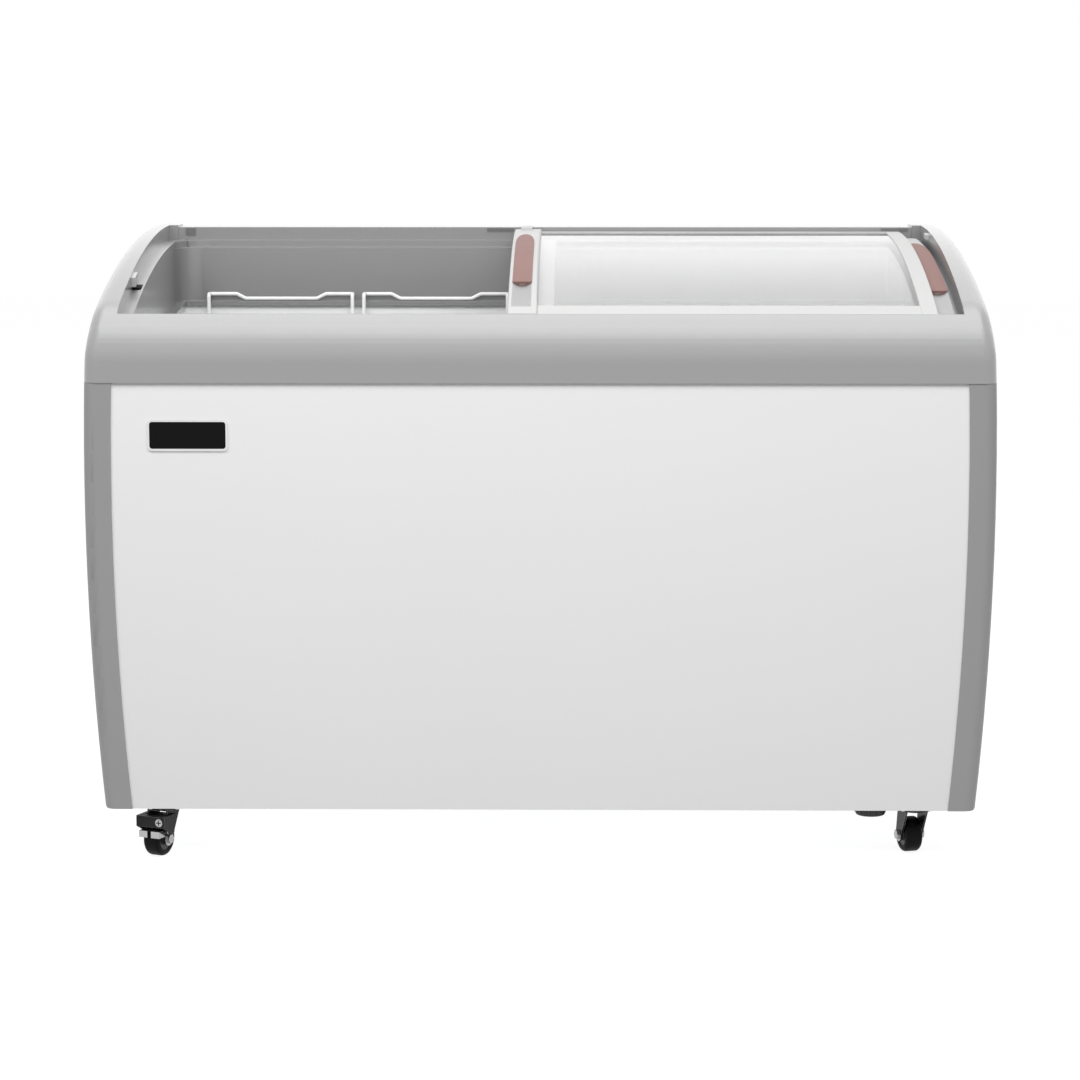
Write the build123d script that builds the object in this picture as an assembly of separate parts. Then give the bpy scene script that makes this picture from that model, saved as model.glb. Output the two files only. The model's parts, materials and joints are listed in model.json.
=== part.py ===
from build123d import *
import math
import os

os.makedirs("parts", exist_ok=True)

# Curved-glass sliding-lid chest freezer, in millimetres.
# X runs to the right, the front faces -Y, Z is up; the origin is under the middle, on the floor.
# Depths named ..._d are measured back from the front face of the top rail.

# Overall sizes
overall_width = 1270.0
overall_depth = 670.0
cabinet_bottom = 73.0
cabinet_height = 602.0
top_rise = 198.0

# Side bulge of the cabinet, seen from the front
bulge_height = 520.0
side_radius = 4714.0

# Long curve of the top, seen from the side
crest_radius = 1750.0
crest_setback = 25.0
curve_start_d = 65.0

# Front rail outline; the two shares are of the top's rise over the seam
nose_share = 0.212
nose_face_share = 0.3485
nose_face_d = 23.0
nose_round = 45.0
brow_round = 90.0
blend_round = 180.0
rail_inner_d = 57.0
frame_edge_round = 20.0
frame_wall = 5.0
inner_wall = 3.0
touch_gap = 0.3
overrun = 20.0

# Mouth of the freezer and its track levels, levels measured down from the long curve
arm_inner_half = 591.0
ledge_half = 575.0
mouth_front_d = 86.0
mouth_round = 36.0
upper_track_front_d = 72.0
rear_wall_setback = 57.0
rear_step_depth = 12.0
mouth_step_depth = 13.0
upper_floor_drop = 22.5
lower_floor_drop = 33.0

# Rear rail
rear_rail_top_drop = 3.0
rear_rail_wall = 3.0

# Collar and its slanting basket ledge
collar_wall = 3.0
ledge_front_rise = 29.0
ledge_rear_rise = 81.0
ledge_reach = 14.0
ledge_thickness = 3.0
lip_drop = 8.0
lip_thickness = 3.0

# Liner tub and the hump over the machine compartment
liner_wall = 1.5
liner_setback = 2.5
liner_floor_height = 148.0
liner_round = 12.0
hump_x = 325.0
hump_height = 340.0

# Outer panels and corner trims
trim_setback = 1.5
trim_thickness = 3.0
trim_front_leg = 39.5
trim_side_leg = 34.0
trim_corner_round = 18.0
trim_foot_round = 6.0
panel_thickness = 1.0
panel_tuck = 14.0
panel_top_gap = 0.3

# Base pan
pan_thickness = 2.0
pan_flange_height = 14.0
pan_setback = 1.0

# Foam
foam_gap = 0.3
compartment_wall = 12.0
compartment_front_wall = 24.0
compartment_roof_gap = 12.0

# Lids
lid_strip_height = 7.0
lid_handle_height = 11.0
glass_thickness = 4.0
glass_lift = 1.5
glass_tuck = 6.0
upper_lid_drop = 16.5
lids_pass_gap = 2.5
lid_front_gap = 4.0
lid_rear_gap = 3.0
lower_lid_gap = 2.0
front_strip_width = 38.0
rear_strip_width = 20.0
side_strip_width = 23.0
handle_strip_width = 42.0
strip_edge_round = 1.2
handle_edge_round = 3.0
handle_end_round = 14.0
upper_lid_left = -46.0
upper_lid_width = 603.0
lower_lid_left = -4.0
lower_lid_width = 588.0
glide_length = 60.0
glide_inset = 30.0
glide_depth = 8.0

# Grip inlay and finger scoop in each handle strip
grip_width = 28.0
grip_taper = 90.0
upper_grip_margin = 5.0
lower_grip_margin = 1.2
grip_front_d = 181.0
grip_rear_setback = 170.0
grip_pocket = 3.0
grip_proud = 1.2
scoop_front_d = 86.0
scoop_depth = 5.0
scoop_radius = 26.0
tab_width = 18.0
tab_length = 32.0
tab_height = 5.4
tab_round = 2.5
tab_rear_gap = 3.0

# Lid stops on the arms and retainers on the rear rail
stop_length = 26.0
stop_height = 14.0
stop_thickness = 6.0
stop_left_d = 196.0
stop_right_setback = 180.0
stop_right_height = 7.0
stop_top_drop = 4.0
pocket_floor_drop = 28.5
retainer_length = 42.0
retainer_height = 5.0
retainer_depth = 2.4
retainer_top_drop = 5.0
left_retainer_x = -90.0
right_retainer_x = 529.0
corner_stop_x = -565.0
corner_stop_length = 15.0
corner_stop_height = 11.0
arm_hook_reach = 14.0

# Name plate
plate_width = 106.0
plate_height = 37.5
plate_left_x = -541.0
plate_top_drop = 54.0
plate_thickness = 1.2
plate_round = 4.0
border_width = 3.0
border_thickness = 2.2

# Wire baskets
basket_wire = 6.0
basket_mesh = 2.4
basket_width = 231.0
left_basket_x = -528.0
basket_spacing = 243.0
basket_rim_rise = 13.0
basket_height = 183.0
basket_lip_gap = 3.0
mesh_columns = 6
mesh_side_columns = 12
mesh_rows = 5
hanger_rise = 10.5
hanger_seat_inset = 6.0
hanger_dip_length = 108.0
hanger_ramp = 14.0
hanger_bend = 5.5

# Compressor, on its feet in the compartment
compressor_x = 470.0
compressor_setback = 150.0
compressor_radius = 78.0
compressor_height = 190.0
compressor_dome = 60.0
compressor_wall = 6.0
compressor_foot_height = 14.0
compressor_foot_width = 40.0
compressor_foot_span = 196.0
compressor_foot_depth = 130.0
stub_radius = 6.0
stub_length = 24.0
stub_spread = 34.0

# Condenser and its fan
condenser_x = 455.0
condenser_d = 110.0
condenser_width = 210.0
condenser_height = 190.0
condenser_depth = 44.0
fin_thickness = 1.0
fin_count = 20
condenser_tube_radius = 4.5
condenser_tube_rows = 5
fan_d = 192.0
fan_radius = 82.0
fan_hub_radius = 17.0
fan_hub_length = 22.0
fan_blade_count = 5
fan_blade_thickness = 2.0
fan_blade_pitch = 32.0
fan_blade_chord = 32.0
fan_shaft_radius = 3.0
fan_shaft_play = 0.06
motor_radius = 30.0
motor_length = 46.0
motor_gap = 5.0
bracket_width = 60.0
bracket_thickness = 3.0

# Filter drier and refrigerant lines
drier_radius = 11.0
drier_length = 84.0
drier_neck_radius = 4.0
drier_neck_length = 14.0
drier_x = 560.0
drier_d = 240.0
drier_height = 200.0
line_radius = 4.0
line_bend = 18.0
tight_bend = 9.0
neck_bend = 6.0
stub_run = 36.0

# Evaporator tube wound round the liner
evaporator_radius = 4.0
evaporator_gap = 0.8
evaporator_top_drop = 25.0
evaporator_pitch = 40.0
evaporator_turns = 7
channel_margin = 10.5

# Thermostat in a recess of the rear panel
thermostat_x = 500.0
thermostat_z = 250.0
thermostat_width = 84.0
thermostat_height = 84.0
thermostat_depth = 26.0
thermostat_wall = 2.0
thermostat_flange = 6.0
knob_radius = 17.0
knob_length = 15.0
knob_grip_width = 6.0
knob_grip_height = 30.6
knob_grip_length = 4.0
knob_stem_radius = 3.0
knob_play = 0.06
knob_gap = 0.5
knob_stem_length = 4.0

# Vent grille in the right side panel
grille_front_d = 120.0
grille_rear_d = 420.0
grille_bottom = 112.0
grille_top = 292.0
grille_border = 12.0
grille_slot_height = 8.0
grille_slot_count = 9
grille_slot_ends = 16.0
grille_thickness = 2.6

# Drain
drain_x = 470.0
drain_d = 52.0
drain_tube_radius = 11.0
drain_tube_wall = 2.0
drain_tube_below = 8.0
drain_cap_radius = 21.0
drain_cap_height = 15.0
drain_cap_wall = 2.5
drain_cap_play = 0.08
drain_rib_count = 16
drain_rib_radius = 1.4
drain_rib_start = 3.75

# Cord gland in the rear panel
gland_x = 420.0
gland_z = 130.0
gland_bore = 4.5
gland_body_radius = 9.0
gland_flange_radius = 13.0
gland_flange_thickness = 3.0
gland_inner_length = 16.0

# Casters
caster_x = 533.0
caster_setback = 50.0
caster_plate = 56.0
caster_plate_thickness = 2.5
caster_plate_round = 8.0
raceway_radius = 20.0
raceway_height = 6.0
swivel_gap = 0.5
wheel_radius = 25.0
wheel_width = 25.0
wheel_round = 6.0
hub_radius = 13.0
hub_recess = 1.6
caster_trail = 20.0
fork_gap = 1.6
fork_thickness = 2.5
fork_arm_width = 20.0
fork_crown_half = 23.0
axle_radius = 4.0
axle_play = 0.06
axle_head_radius = 7.0
axle_head_length = 4.0
kingpin_radius = 5.0
kingpin_play = 0.06
pin_head_radius = 8.0
pin_head_height = 3.0

# Brake lever and the lugs in front of the wheel; u runs along the trail, w across the fork
lever_pivot_u = 25.5
lever_pivot_drop = 12.0
lever_pivot_radius = 2.5
lever_pivot_play = 0.06
lever_ear_radius = 4.0
lever_wall = 2.0
lever_side_gap = 0.4
lever_rear_u = 10.0
lever_front_u = 43.0
lever_slot_end_u = 30.0
lever_top_drop = 7.0
lever_front_height = 15.5
lever_side_height = 26.0
lever_side_rear_u = 16.0
lever_side_front_u = 24.0
lever_screw_radius = 6.0
lever_screw_height = 1.6
lever_screw_inset = 8.0
lug_bottom_height = 30.0
lug_height = 9.5
lug_front_u = 46.5
lug_thickness = 1.5
lug_middle_gap = 6.0

# Angle of each caster at rest: its yaw, and whether the wheel trails to the front
caster_yaw = {"front_left": -24.0, "front_right": 15.0, "rear_left": 10.0, "rear_right": -12.0}
caster_trails_front = {"front_left": True, "front_right": False, "rear_left": True, "rear_right": True}

# Screws
screw_head_radius = 4.0
screw_head_height = 2.2
caster_bolt_radius = 4.5
caster_bolt_height = 3.5
caster_bolt_inset = 9.0

# Sizes that follow from those above
seam_height = cabinet_bottom + cabinet_height
crest_height = seam_height + top_rise
crest_d = overall_depth - crest_setback
nose_height = seam_height + nose_share * top_rise
nose_face_height = seam_height + nose_face_share * top_rise
ledge_front_height = seam_height + ledge_front_rise
ledge_rear_height = seam_height + ledge_rear_rise
rear_wall_d = overall_depth - rear_wall_setback
upper_track_rear_d = rear_wall_d - rear_step_depth
mouth_rear_d = upper_track_rear_d - mouth_step_depth
shelf_round = mouth_round + mouth_step_depth
grip_rear_d = overall_depth - grip_rear_setback
stop_right_d = overall_depth - stop_right_setback
plate_top_height = seam_height - plate_top_drop
basket_rim_height = seam_height + basket_rim_rise
basket_bottom_height = basket_rim_height - basket_height
compressor_d = overall_depth - compressor_setback
evaporator_top = seam_height - evaporator_top_drop
caster_front_d = caster_setback
caster_rear_d = overall_depth - caster_setback
half_depth = overall_depth / 2
half_width_max = overall_width / 2
half_turn = 180.0


def y_of(d):
    return d - half_depth


def arc_z(drop, d):
    """Height of the long top curve, lowered square to itself by drop, at depth d."""
    radius = crest_radius - drop
    return crest_height - crest_radius + math.sqrt(radius ** 2 - (d - crest_d) ** 2)


def half_width(z, inset=0.0):
    """Half of the cabinet's width at height z, drawn in square to its side by inset."""
    radius = side_radius - inset
    return half_width_max - side_radius + math.sqrt(radius ** 2 - (z - bulge_height) ** 2)


def side_prism(points, x0, x1):
    """Prism along X over a closed outline of (d, z) points."""
    corners = [(x0, y_of(d), z) for d, z in points]
    face = Face(Wire(Polyline(*corners, close=True)))
    return extrude(face, x1 - x0, dir=(1, 0, 0))


def below_curve(drop, d0, d1, z0, x0, x1):
    """Prism along X under the long curve lowered by drop, down to z0."""
    mid = (d0 + d1) / 2
    low_a = (x0, y_of(d0), z0)
    low_b = (x0, y_of(d1), z0)
    high_a = (x0, y_of(d0), arc_z(drop, d0))
    high_b = (x0, y_of(d1), arc_z(drop, d1))
    high_mid = (x0, y_of(mid), arc_z(drop, mid))
    top = ThreePointArc(high_a, high_mid, high_b)
    wire = Wire([Line(low_a, high_a), top, Line(high_b, low_b), Line(low_b, low_a)])
    return extrude(Face(wire), x1 - x0, dir=(1, 0, 0))


def curve_band(drop_low, drop_high, d0, d1, x0, x1):
    """Slab between two levels of the long curve; its ends are square to the curve."""
    def point(drop, d):
        swing = (d - crest_d) / crest_radius
        radius = crest_radius - drop
        height = crest_height - crest_radius + radius * math.sqrt(1 - swing ** 2)
        return (x0, y_of(crest_d + radius * swing), height)
    mid = (d0 + d1) / 2
    low = ThreePointArc(point(drop_low, d0), point(drop_low, mid), point(drop_low, d1))
    high = ThreePointArc(point(drop_high, d0), point(drop_high, mid), point(drop_high, d1))
    wire = Wire([low, Line(low @ 1, high @ 1), high, Line(high @ 0, low @ 0)])
    return extrude(Face(wire), x1 - x0, dir=(1, 0, 0))


def block(x0, x1, d0, d1, z0, z1):
    return Pos((x0 + x1) / 2, y_of((d0 + d1) / 2), (z0 + z1) / 2) * Box(x1 - x0, d1 - d0, z1 - z0)


def plan_prism(half_x, d0, d1, z0, z1, radius):
    """Upright prism with rounded corners, even about the middle plane."""
    outline = RectangleRounded(2 * half_x, d1 - d0, radius)
    return extrude(Pos(0, y_of((d0 + d1) / 2), z0) * outline, z1 - z0)


def envelope(inset, z0, z1, d0, d1, foot_round=0.0):
    """Prism along Y with the bulged front outline of the cabinet."""
    y0 = y_of(d0)
    mid = (z0 + z1) / 2
    right = ThreePointArc((half_width(z0, inset), y0, z0), (half_width(mid, inset), y0, mid),
                          (half_width(z1, inset), y0, z1))
    left = ThreePointArc((-half_width(z1, inset), y0, z1), (-half_width(mid, inset), y0, mid),
                         (-half_width(z0, inset), y0, z0))
    face = Face(Wire([right, Line(right @ 1, left @ 0), left, Line(left @ 1, right @ 0)]))
    if foot_round > 0:
        feet = [v for v in face.vertices() if v.Z < z0 + foot_round]
        face = face.fillet_2d(foot_round, feet)
    return extrude(face, d1 - d0, dir=(0, 1, 0))


def core(inset, z0, z1, foot_round=0.0):
    """Inside of the cabinet's skin, drawn in square to it by inset, with rounded upright corners."""
    front, rear = trim_setback + inset, overall_depth - trim_setback - inset
    solid = envelope(inset, z0, z1, front, rear)
    corners = [e for e in solid.edges() if e.bounding_box().size.Z > z1 - z0 - touch_gap
               and e.bounding_box().size.Y < touch_gap]
    solid = fillet(corners, max(trim_corner_round - inset, touch_gap))
    if foot_round > 0:
        reach = half_width(z0 + foot_round, inset) - foot_round
        foot = block(reach, half_width_max, 0.0, overall_depth, z0 - overrun, z0 + foot_round)
        foot = foot - rod((reach, y_of(0.0), z0 + foot_round), (reach, y_of(overall_depth), z0 + foot_round),
                          foot_round)
        solid = solid - foot - mirror(foot, Plane.YZ)
    return solid


def rod(start, end, radius):
    """Round bar between two points."""
    start, end = Vector(*start), Vector(*end)
    return Solid.make_cylinder(radius, (end - start).length, Plane(start, z_dir=end - start))


def upright(x, d, z0, z1, radius):
    return rod((x, y_of(d), z0), (x, y_of(d), z1), radius)


def tube_along(points, radius, bend):
    """Round tube along straight runs joined by arcs of the bend radius."""
    path = FilletPolyline(*points, radius=[bend] * (len(points) - 2))
    return sweep(Plane(path @ 0, z_dir=path % 0) * Circle(radius), path=path)


def polygon_head(x, d, z0, z1, radius):
    """Hexagonal bolt head, upright."""
    outline = RegularPolygon(radius, 6)
    return extrude(Pos(x, y_of(d), z0) * outline, z1 - z0)


def save(shape, name):
    export_step(shape, "parts/" + name + ".step")


def frame_outline_prism(shrink, x0, x1, base):
    """Side outline of the top frame, drawn in by shrink, as a prism along X."""
    slope = (arc_z(0.0, curve_start_d) - nose_face_height) / (curve_start_d - nose_face_d)
    tilt = math.atan(slope)
    face_tilt = math.atan((nose_face_height - nose_height) / nose_face_d)
    upper_turn = (tilt + face_tilt) / 2
    lower_turn = (face_tilt + math.pi / 2) / 2
    knee_d = nose_face_d + shrink * math.sin(upper_turn) / math.cos((face_tilt - tilt) / 2)
    knee_z = nose_face_height - shrink * math.cos(upper_turn) / math.cos((face_tilt - tilt) / 2)
    nose_z = nose_height - shrink * math.tan(math.pi / 2 - lower_turn)
    end_d = overall_depth - shrink
    mid = (curve_start_d + end_d) / 2
    start = (x0, y_of(shrink), base)
    front = Line(start, (x0, y_of(shrink), nose_z))
    rise = Line(front @ 1, (x0, y_of(knee_d), knee_z))
    brow = Line(rise @ 1, (x0, y_of(curve_start_d), arc_z(shrink, curve_start_d)))
    crest = (x0, y_of(mid), arc_z(shrink, mid))
    top = ThreePointArc(brow @ 1, crest, (x0, y_of(end_d), arc_z(shrink, end_d)))
    back = Line(top @ 1, (x0, y_of(end_d), base))
    face = Face(Wire([front, rise, brow, top, back, Line(back @ 1, start)]))
    rounds = ((nose_z, nose_round - shrink), (knee_z, brow_round - shrink),
              (arc_z(shrink, curve_start_d), blend_round - shrink))
    for height, radius in rounds:
        near = [v for v in face.vertices() if v.Y < y_of(mouth_front_d)]
        corner = min(near, key=lambda v: abs(v.Z - height))
        face = face.fillet_2d(radius, [corner])
    return extrude(face, x1 - x0, dir=(1, 0, 0))


def above_level(drop):
    """All the space over one level of the long curve, inside the cabinet's width."""
    width, top = half_width_max, crest_height + overrun
    d0, d1 = rail_inner_d - overrun, rear_wall_d + overrun
    under = below_curve(drop, d0, d1, seam_height - overrun, -width, width)
    return block(-width, width, d0, d1, seam_height, top) - under


def lower_level(grow):
    """Space of the lower lid's level, with rounded corners where the left arm's shelf begins."""
    left = -ledge_half - grow
    middle = (left + half_width_max) / 2
    space = plan_prism((half_width_max - left) / 2, upper_track_front_d - grow, upper_track_rear_d + grow,
                       seam_height, crest_height + overrun, shelf_round + grow)
    return Pos(middle, 0, 0) * space & above_level(lower_floor_drop + grow)


def mouth_cut(grow):
    """All that the frame leaves open: the lid levels and the well, grown by a wall.

    The left arm keeps a shelf at the upper level, so the lower lid stops short of it.
    """
    top = crest_height + overrun
    half_x = arm_inner_half + grow
    upper = block(-half_x, half_x, rail_inner_d - grow, rear_wall_d + grow, seam_height, top)
    lower = lower_level(grow) & block(-half_width_max, half_x, 0.0, overall_depth, seam_height, top)
    wall = collar_wall + grow
    well = plan_prism(ledge_half + wall, mouth_front_d - wall, mouth_rear_d + wall,
                      seam_height - overrun, top, mouth_round + wall)
    upper = upper & above_level(upper_floor_drop + grow)
    return upper + lower + well


def stop_pocket(grow):
    """Recess in the left arm's wall for its lid stop, grown by a wall."""
    end = stop_left_d + stop_length + grow
    return curve_band(pocket_floor_drop, stop_top_drop + stop_height - grow, stop_left_d - grow, end,
                      -arm_inner_half - stop_thickness - grow, -arm_inner_half + overrun)


def frame_body(shrink, base):
    """Closed body of the top frame down to base, drawn in by shrink, with its rim rounded."""
    body = frame_outline_prism(shrink, -half_width_max, half_width_max, base)
    body = body & envelope(shrink, base, crest_height + overrun, shrink, overall_depth - shrink)
    rim = [e for e in body.edges() if abs(e.center().X) > arm_inner_half + inner_wall
           and e.center().Z > base + touch_gap and e.center().Y < y_of(overall_depth - shrink - touch_gap)]
    return fillet(rim, frame_edge_round - shrink)


def make_top_frame():
    """Front rail and both arms in one, hollow, with the mouth and the lid levels cut out."""
    hollow = frame_body(frame_wall, seam_height - overrun) - mouth_cut(inner_wall) - stop_pocket(inner_wall)
    frame = frame_body(0.0, seam_height) - hollow - mouth_cut(0.0)
    low, top = seam_height - overrun, crest_height + overrun
    rear_seat = block(-arm_inner_half, arm_inner_half, mouth_rear_d, rear_wall_d, low, top)
    hooked = arm_inner_half - arm_hook_reach
    rear_seat = rear_seat + block(-hooked, hooked, mouth_rear_d, overall_depth + overrun, low, top)
    return frame - rear_seat - stop_pocket(0.0)


def rail_steps(wall):
    """Solid of the rear rail drawn in by wall, with its two lower levels in front of its back."""
    base = seam_height - (overrun if wall > 0 else 0.0)
    x1 = arm_inner_half - wall
    x2 = x1 - arm_hook_reach
    front = mouth_rear_d + collar_wall + wall
    back = below_curve(rear_rail_top_drop + wall, rear_wall_d + wall, overall_depth - wall, base, -x2, x2)
    steps = below_curve(upper_floor_drop + wall, front, rear_wall_d + wall, base, -x1, x1)
    return back + (steps - lower_level(wall))


def make_rear_rail():
    """Stepped rail that closes the frame at the back, hollow from below."""
    return rail_steps(0.0) - rail_steps(rear_rail_wall)


def ring_prism(outer_half, outer_front, outer_rear, outer_round, wall, z0, z1):
    """Upright ring of the given wall inside a rounded outline."""
    outer = plan_prism(outer_half, outer_front, outer_rear, z0, z1, outer_round)
    inner = plan_prism(outer_half - wall, outer_front + wall, outer_rear - wall, z0, z1,
                       outer_round - wall)
    return outer - inner


def ledge_line(offset):
    """Points of the slanting ledge level, lowered by offset, from front to rear."""
    front, rear = mouth_front_d, mouth_rear_d
    low, high = ledge_front_height - offset, ledge_rear_height - offset
    return [(front - overrun, low), (front + ledge_reach, low), (rear - ledge_reach, high),
            (rear + overrun, high)]


def slanted_slab(drop_low, drop_high):
    """Slab between two lowered copies of the ledge level."""
    points = ledge_line(drop_low) + list(reversed(ledge_line(drop_high)))
    return side_prism(points, -half_width_max, half_width_max)


def cut_apart(ring, half_x, d0, d1):
    """The straight sides and the corners of a ring, as solids that meet edge to edge."""
    parts = []
    for x0, x1 in ((-half_width_max, -half_x), (-half_x, half_x), (half_x, half_width_max)):
        for front, rear in ((0.0, d0), (d0, d1), (d1, overall_depth)):
            piece = ring & block(x0, x1, front, rear, 0.0, crest_height + overrun)
            if piece:
                parts += piece.solids()
    return parts


def make_collar():
    """Wall of the mouth and its slanting ledge with the lip, each as four sides and four corners."""
    wall = collar_wall
    low, high = seam_height - overrun, crest_height
    tall = ring_prism(ledge_half + wall, mouth_front_d - wall, mouth_rear_d + wall, mouth_round + wall,
                      wall, low, high)
    under_track = below_curve(lower_floor_drop, 0.0, overall_depth, low, -half_width_max, half_width_max)
    under_track = under_track + below_curve(upper_floor_drop, mouth_front_d, mouth_rear_d, low,
                                            -half_width_max, -ledge_half)
    under_ledge = side_prism([(0.0, low)] + ledge_line(ledge_thickness) + [(overall_depth, low)],
                             -half_width_max, half_width_max)
    straight = mouth_round + wall
    parts = cut_apart((tall & under_track) - under_ledge, ledge_half - straight, mouth_front_d + straight,
                      mouth_rear_d - straight)
    lip_round = liner_round - liner_wall - liner_setback
    reach = ledge_reach - lip_thickness
    opening = plan_prism(ledge_half - ledge_reach, mouth_front_d + ledge_reach, mouth_rear_d - ledge_reach,
                         low, high, lip_round - lip_thickness)
    shelf = plan_prism(ledge_half, mouth_front_d, mouth_rear_d, low, high, mouth_round) - opening
    ledge = shelf & slanted_slab(ledge_thickness, 0.0)
    lip = ring_prism(ledge_half - reach, mouth_front_d + reach, mouth_rear_d - reach, lip_round,
                     lip_thickness, low, high)
    ledge = ledge + (lip & slanted_slab(lip_drop, 0.0))
    straight = reach + lip_round
    parts += cut_apart(ledge, ledge_half - straight, mouth_front_d + straight, mouth_rear_d - straight)
    return Compound(children=parts)


def liner_offset():
    """From the mouth's wall in to the outer face of the tub."""
    return ledge_reach - lip_thickness - liner_setback - liner_wall


def liner_prism(inset, floor, top):
    """Plan of the tub, drawn in by inset."""
    setback = liner_offset() + inset
    return plan_prism(ledge_half - setback, mouth_front_d + setback, mouth_rear_d - setback, floor, top,
                      liner_round - inset)


def liner_solid(inset, floor_lift, top):
    """Filled tub with the hump taken out of its lower right corner."""
    tub = liner_prism(inset, liner_floor_height + floor_lift, top)
    hump = block(hump_x - floor_lift, half_width_max, 0.0, overall_depth, 0.0, hump_height + floor_lift)
    return tub - hump


def make_liner():
    """Tub of coated sheets that meet edge to edge: floor, riser, step, walls and corner strips."""
    top = crest_height
    shell = liner_solid(0.0, 0.0, top) - liner_solid(liner_wall, liner_wall, top + overrun)
    floor = liner_floor_height - overrun
    keep = side_prism([(0.0, floor)] + ledge_line(ledge_thickness + touch_gap) + [(overall_depth, floor)],
                      -half_width_max, half_width_max)
    shell = shell & keep
    inside = liner_prism(liner_wall, 0.0, top)
    setback = liner_offset() + liner_round
    parts = cut_apart(shell - inside, ledge_half - setback, mouth_front_d + setback, mouth_rear_d - setback)
    riser_x = hump_x - liner_wall
    for x0, x1 in ((-half_width_max, riser_x), (riser_x, hump_x), (hump_x, half_width_max)):
        sheet = shell & inside & block(x0, x1, 0.0, overall_depth, 0.0, top)
        parts += sheet.solids()
    return Compound(children=parts)


def make_foam():
    """Foam between the skins and the tub, with the tube's channel and the machine compartment cut out."""
    skin = trim_thickness + panel_thickness + foam_gap
    low = cabinet_bottom + pan_thickness + foam_gap
    foot = low + pan_flange_height
    inset = pan_setback + pan_thickness + foam_gap
    foam = core(skin, foot, seam_height - foam_gap) + core(skin + inset, low, foot)
    foam = foam - liner_solid(-foam_gap, 0.0, crest_height)
    setback = liner_offset() - channel_margin
    bottom = evaporator_top - evaporator_turns * evaporator_pitch - evaporator_pitch / 2
    foam = foam - plan_prism(ledge_half - setback, mouth_front_d + setback, mouth_rear_d - setback, bottom,
                             evaporator_top + evaporator_pitch / 2, liner_round + channel_margin)
    room = block(hump_x + compartment_wall, half_width(hump_height) - trim_side_leg,
                 compartment_front_wall, overall_depth - trim_setback - skin, 0.0,
                 hump_height - compartment_roof_gap)
    foam = foam - room
    return foam - upright(drain_x, drain_d, 0.0, hump_height, drain_tube_radius + foam_gap)


def trim_shell():
    """Thin shell of the four corner trims before it is cut apart."""
    z0, z1 = cabinet_bottom, panel_top()
    return core(0.0, z0, z1, trim_foot_round) - core(trim_thickness, z0 - overrun, z1 + overrun)


def make_trims():
    shell = trim_shell()
    z0, z1 = cabinet_bottom - overrun, seam_height + overrun
    middle = envelope(trim_front_leg, z0, z1, -overrun, overall_depth + overrun)
    shell = shell - middle
    side = block(-half_width_max, half_width_max, trim_setback + trim_side_leg,
                 overall_depth - trim_setback - trim_side_leg, z0, z1)
    shell = shell - side
    trims = {}
    for name, x0, x1, d0, d1 in (("front_left", -half_width_max, 0.0, 0.0, half_depth),
                                 ("front_right", 0.0, half_width_max, 0.0, half_depth),
                                 ("rear_left", -half_width_max, 0.0, half_depth, overall_depth),
                                 ("rear_right", 0.0, half_width_max, half_depth, overall_depth)):
        trims[name] = shell & block(x0, x1, d0, d1, z0, z1)
    return trims


def panel_top():
    return seam_height - panel_top_gap


def flat_panel(d0):
    inset = trim_front_leg - panel_tuck
    return envelope(inset, cabinet_bottom, panel_top(), d0, d0 + panel_thickness)


def make_front_panel():
    return flat_panel(trim_setback + trim_thickness)


def make_rear_panel():
    panel = flat_panel(overall_depth - trim_setback - trim_thickness - panel_thickness)
    gland = rod((gland_x, y_of(half_depth), gland_z), (gland_x, y_of(overall_depth), gland_z),
                gland_body_radius)
    return panel - thermostat_block(0.0, half_depth, overall_depth) - gland


def side_skin(side, inset, thickness, d0, d1, z0, z1):
    """Curved sheet on one side of the cabinet; side is -1 for left and 1 for right."""
    outer = envelope(inset, z0, z1, d0, d1)
    inner = envelope(inset + thickness, z0 - overrun, z1 + overrun, d0 - overrun, d1 + overrun)
    x0, x1 = (0.0, half_width_max) if side > 0 else (-half_width_max, 0.0)
    return (outer - inner) & block(x0, x1, d0, d1, z0, z1)


def make_side_panel(side):
    tuck = trim_setback + trim_side_leg - panel_tuck
    panel = side_skin(side, trim_thickness, panel_thickness, tuck, overall_depth - tuck, cabinet_bottom,
                      panel_top())
    if side > 0:
        edge = grille_border / 2
        panel = panel - block(0.0, half_width_max, grille_front_d + edge, grille_rear_d - edge,
                              grille_bottom + edge, grille_top - edge)
    return panel


def make_grille():
    """Louvred plate on the right side, following the side's curve."""
    grille = side_skin(1, trim_thickness - grille_thickness, grille_thickness, grille_front_d, grille_rear_d,
                       grille_bottom, grille_top)
    pitch = (grille_top - grille_bottom - 2 * grille_border) / grille_slot_count
    middle = (grille_front_d + grille_rear_d) / 2
    for row in range(grille_slot_count):
        low = grille_bottom + grille_border + row * pitch + (pitch - grille_slot_height) / 2
        for d0, d1 in ((grille_front_d + grille_slot_ends, middle - grille_slot_ends / 2),
                       (middle + grille_slot_ends / 2, grille_rear_d - grille_slot_ends)):
            grille = grille - block(0.0, half_width_max, d0, d1, low, low + grille_slot_height)
    return grille


def make_base_pan():
    skin = trim_thickness + panel_thickness + pan_setback
    z0 = cabinet_bottom
    top = z0 + pan_thickness + pan_flange_height
    pan = core(skin, z0, top) - core(skin + pan_thickness, z0 + pan_thickness, top + overrun)
    return pan - upright(drain_x, drain_d, 0.0, top, drain_tube_radius)


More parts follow.
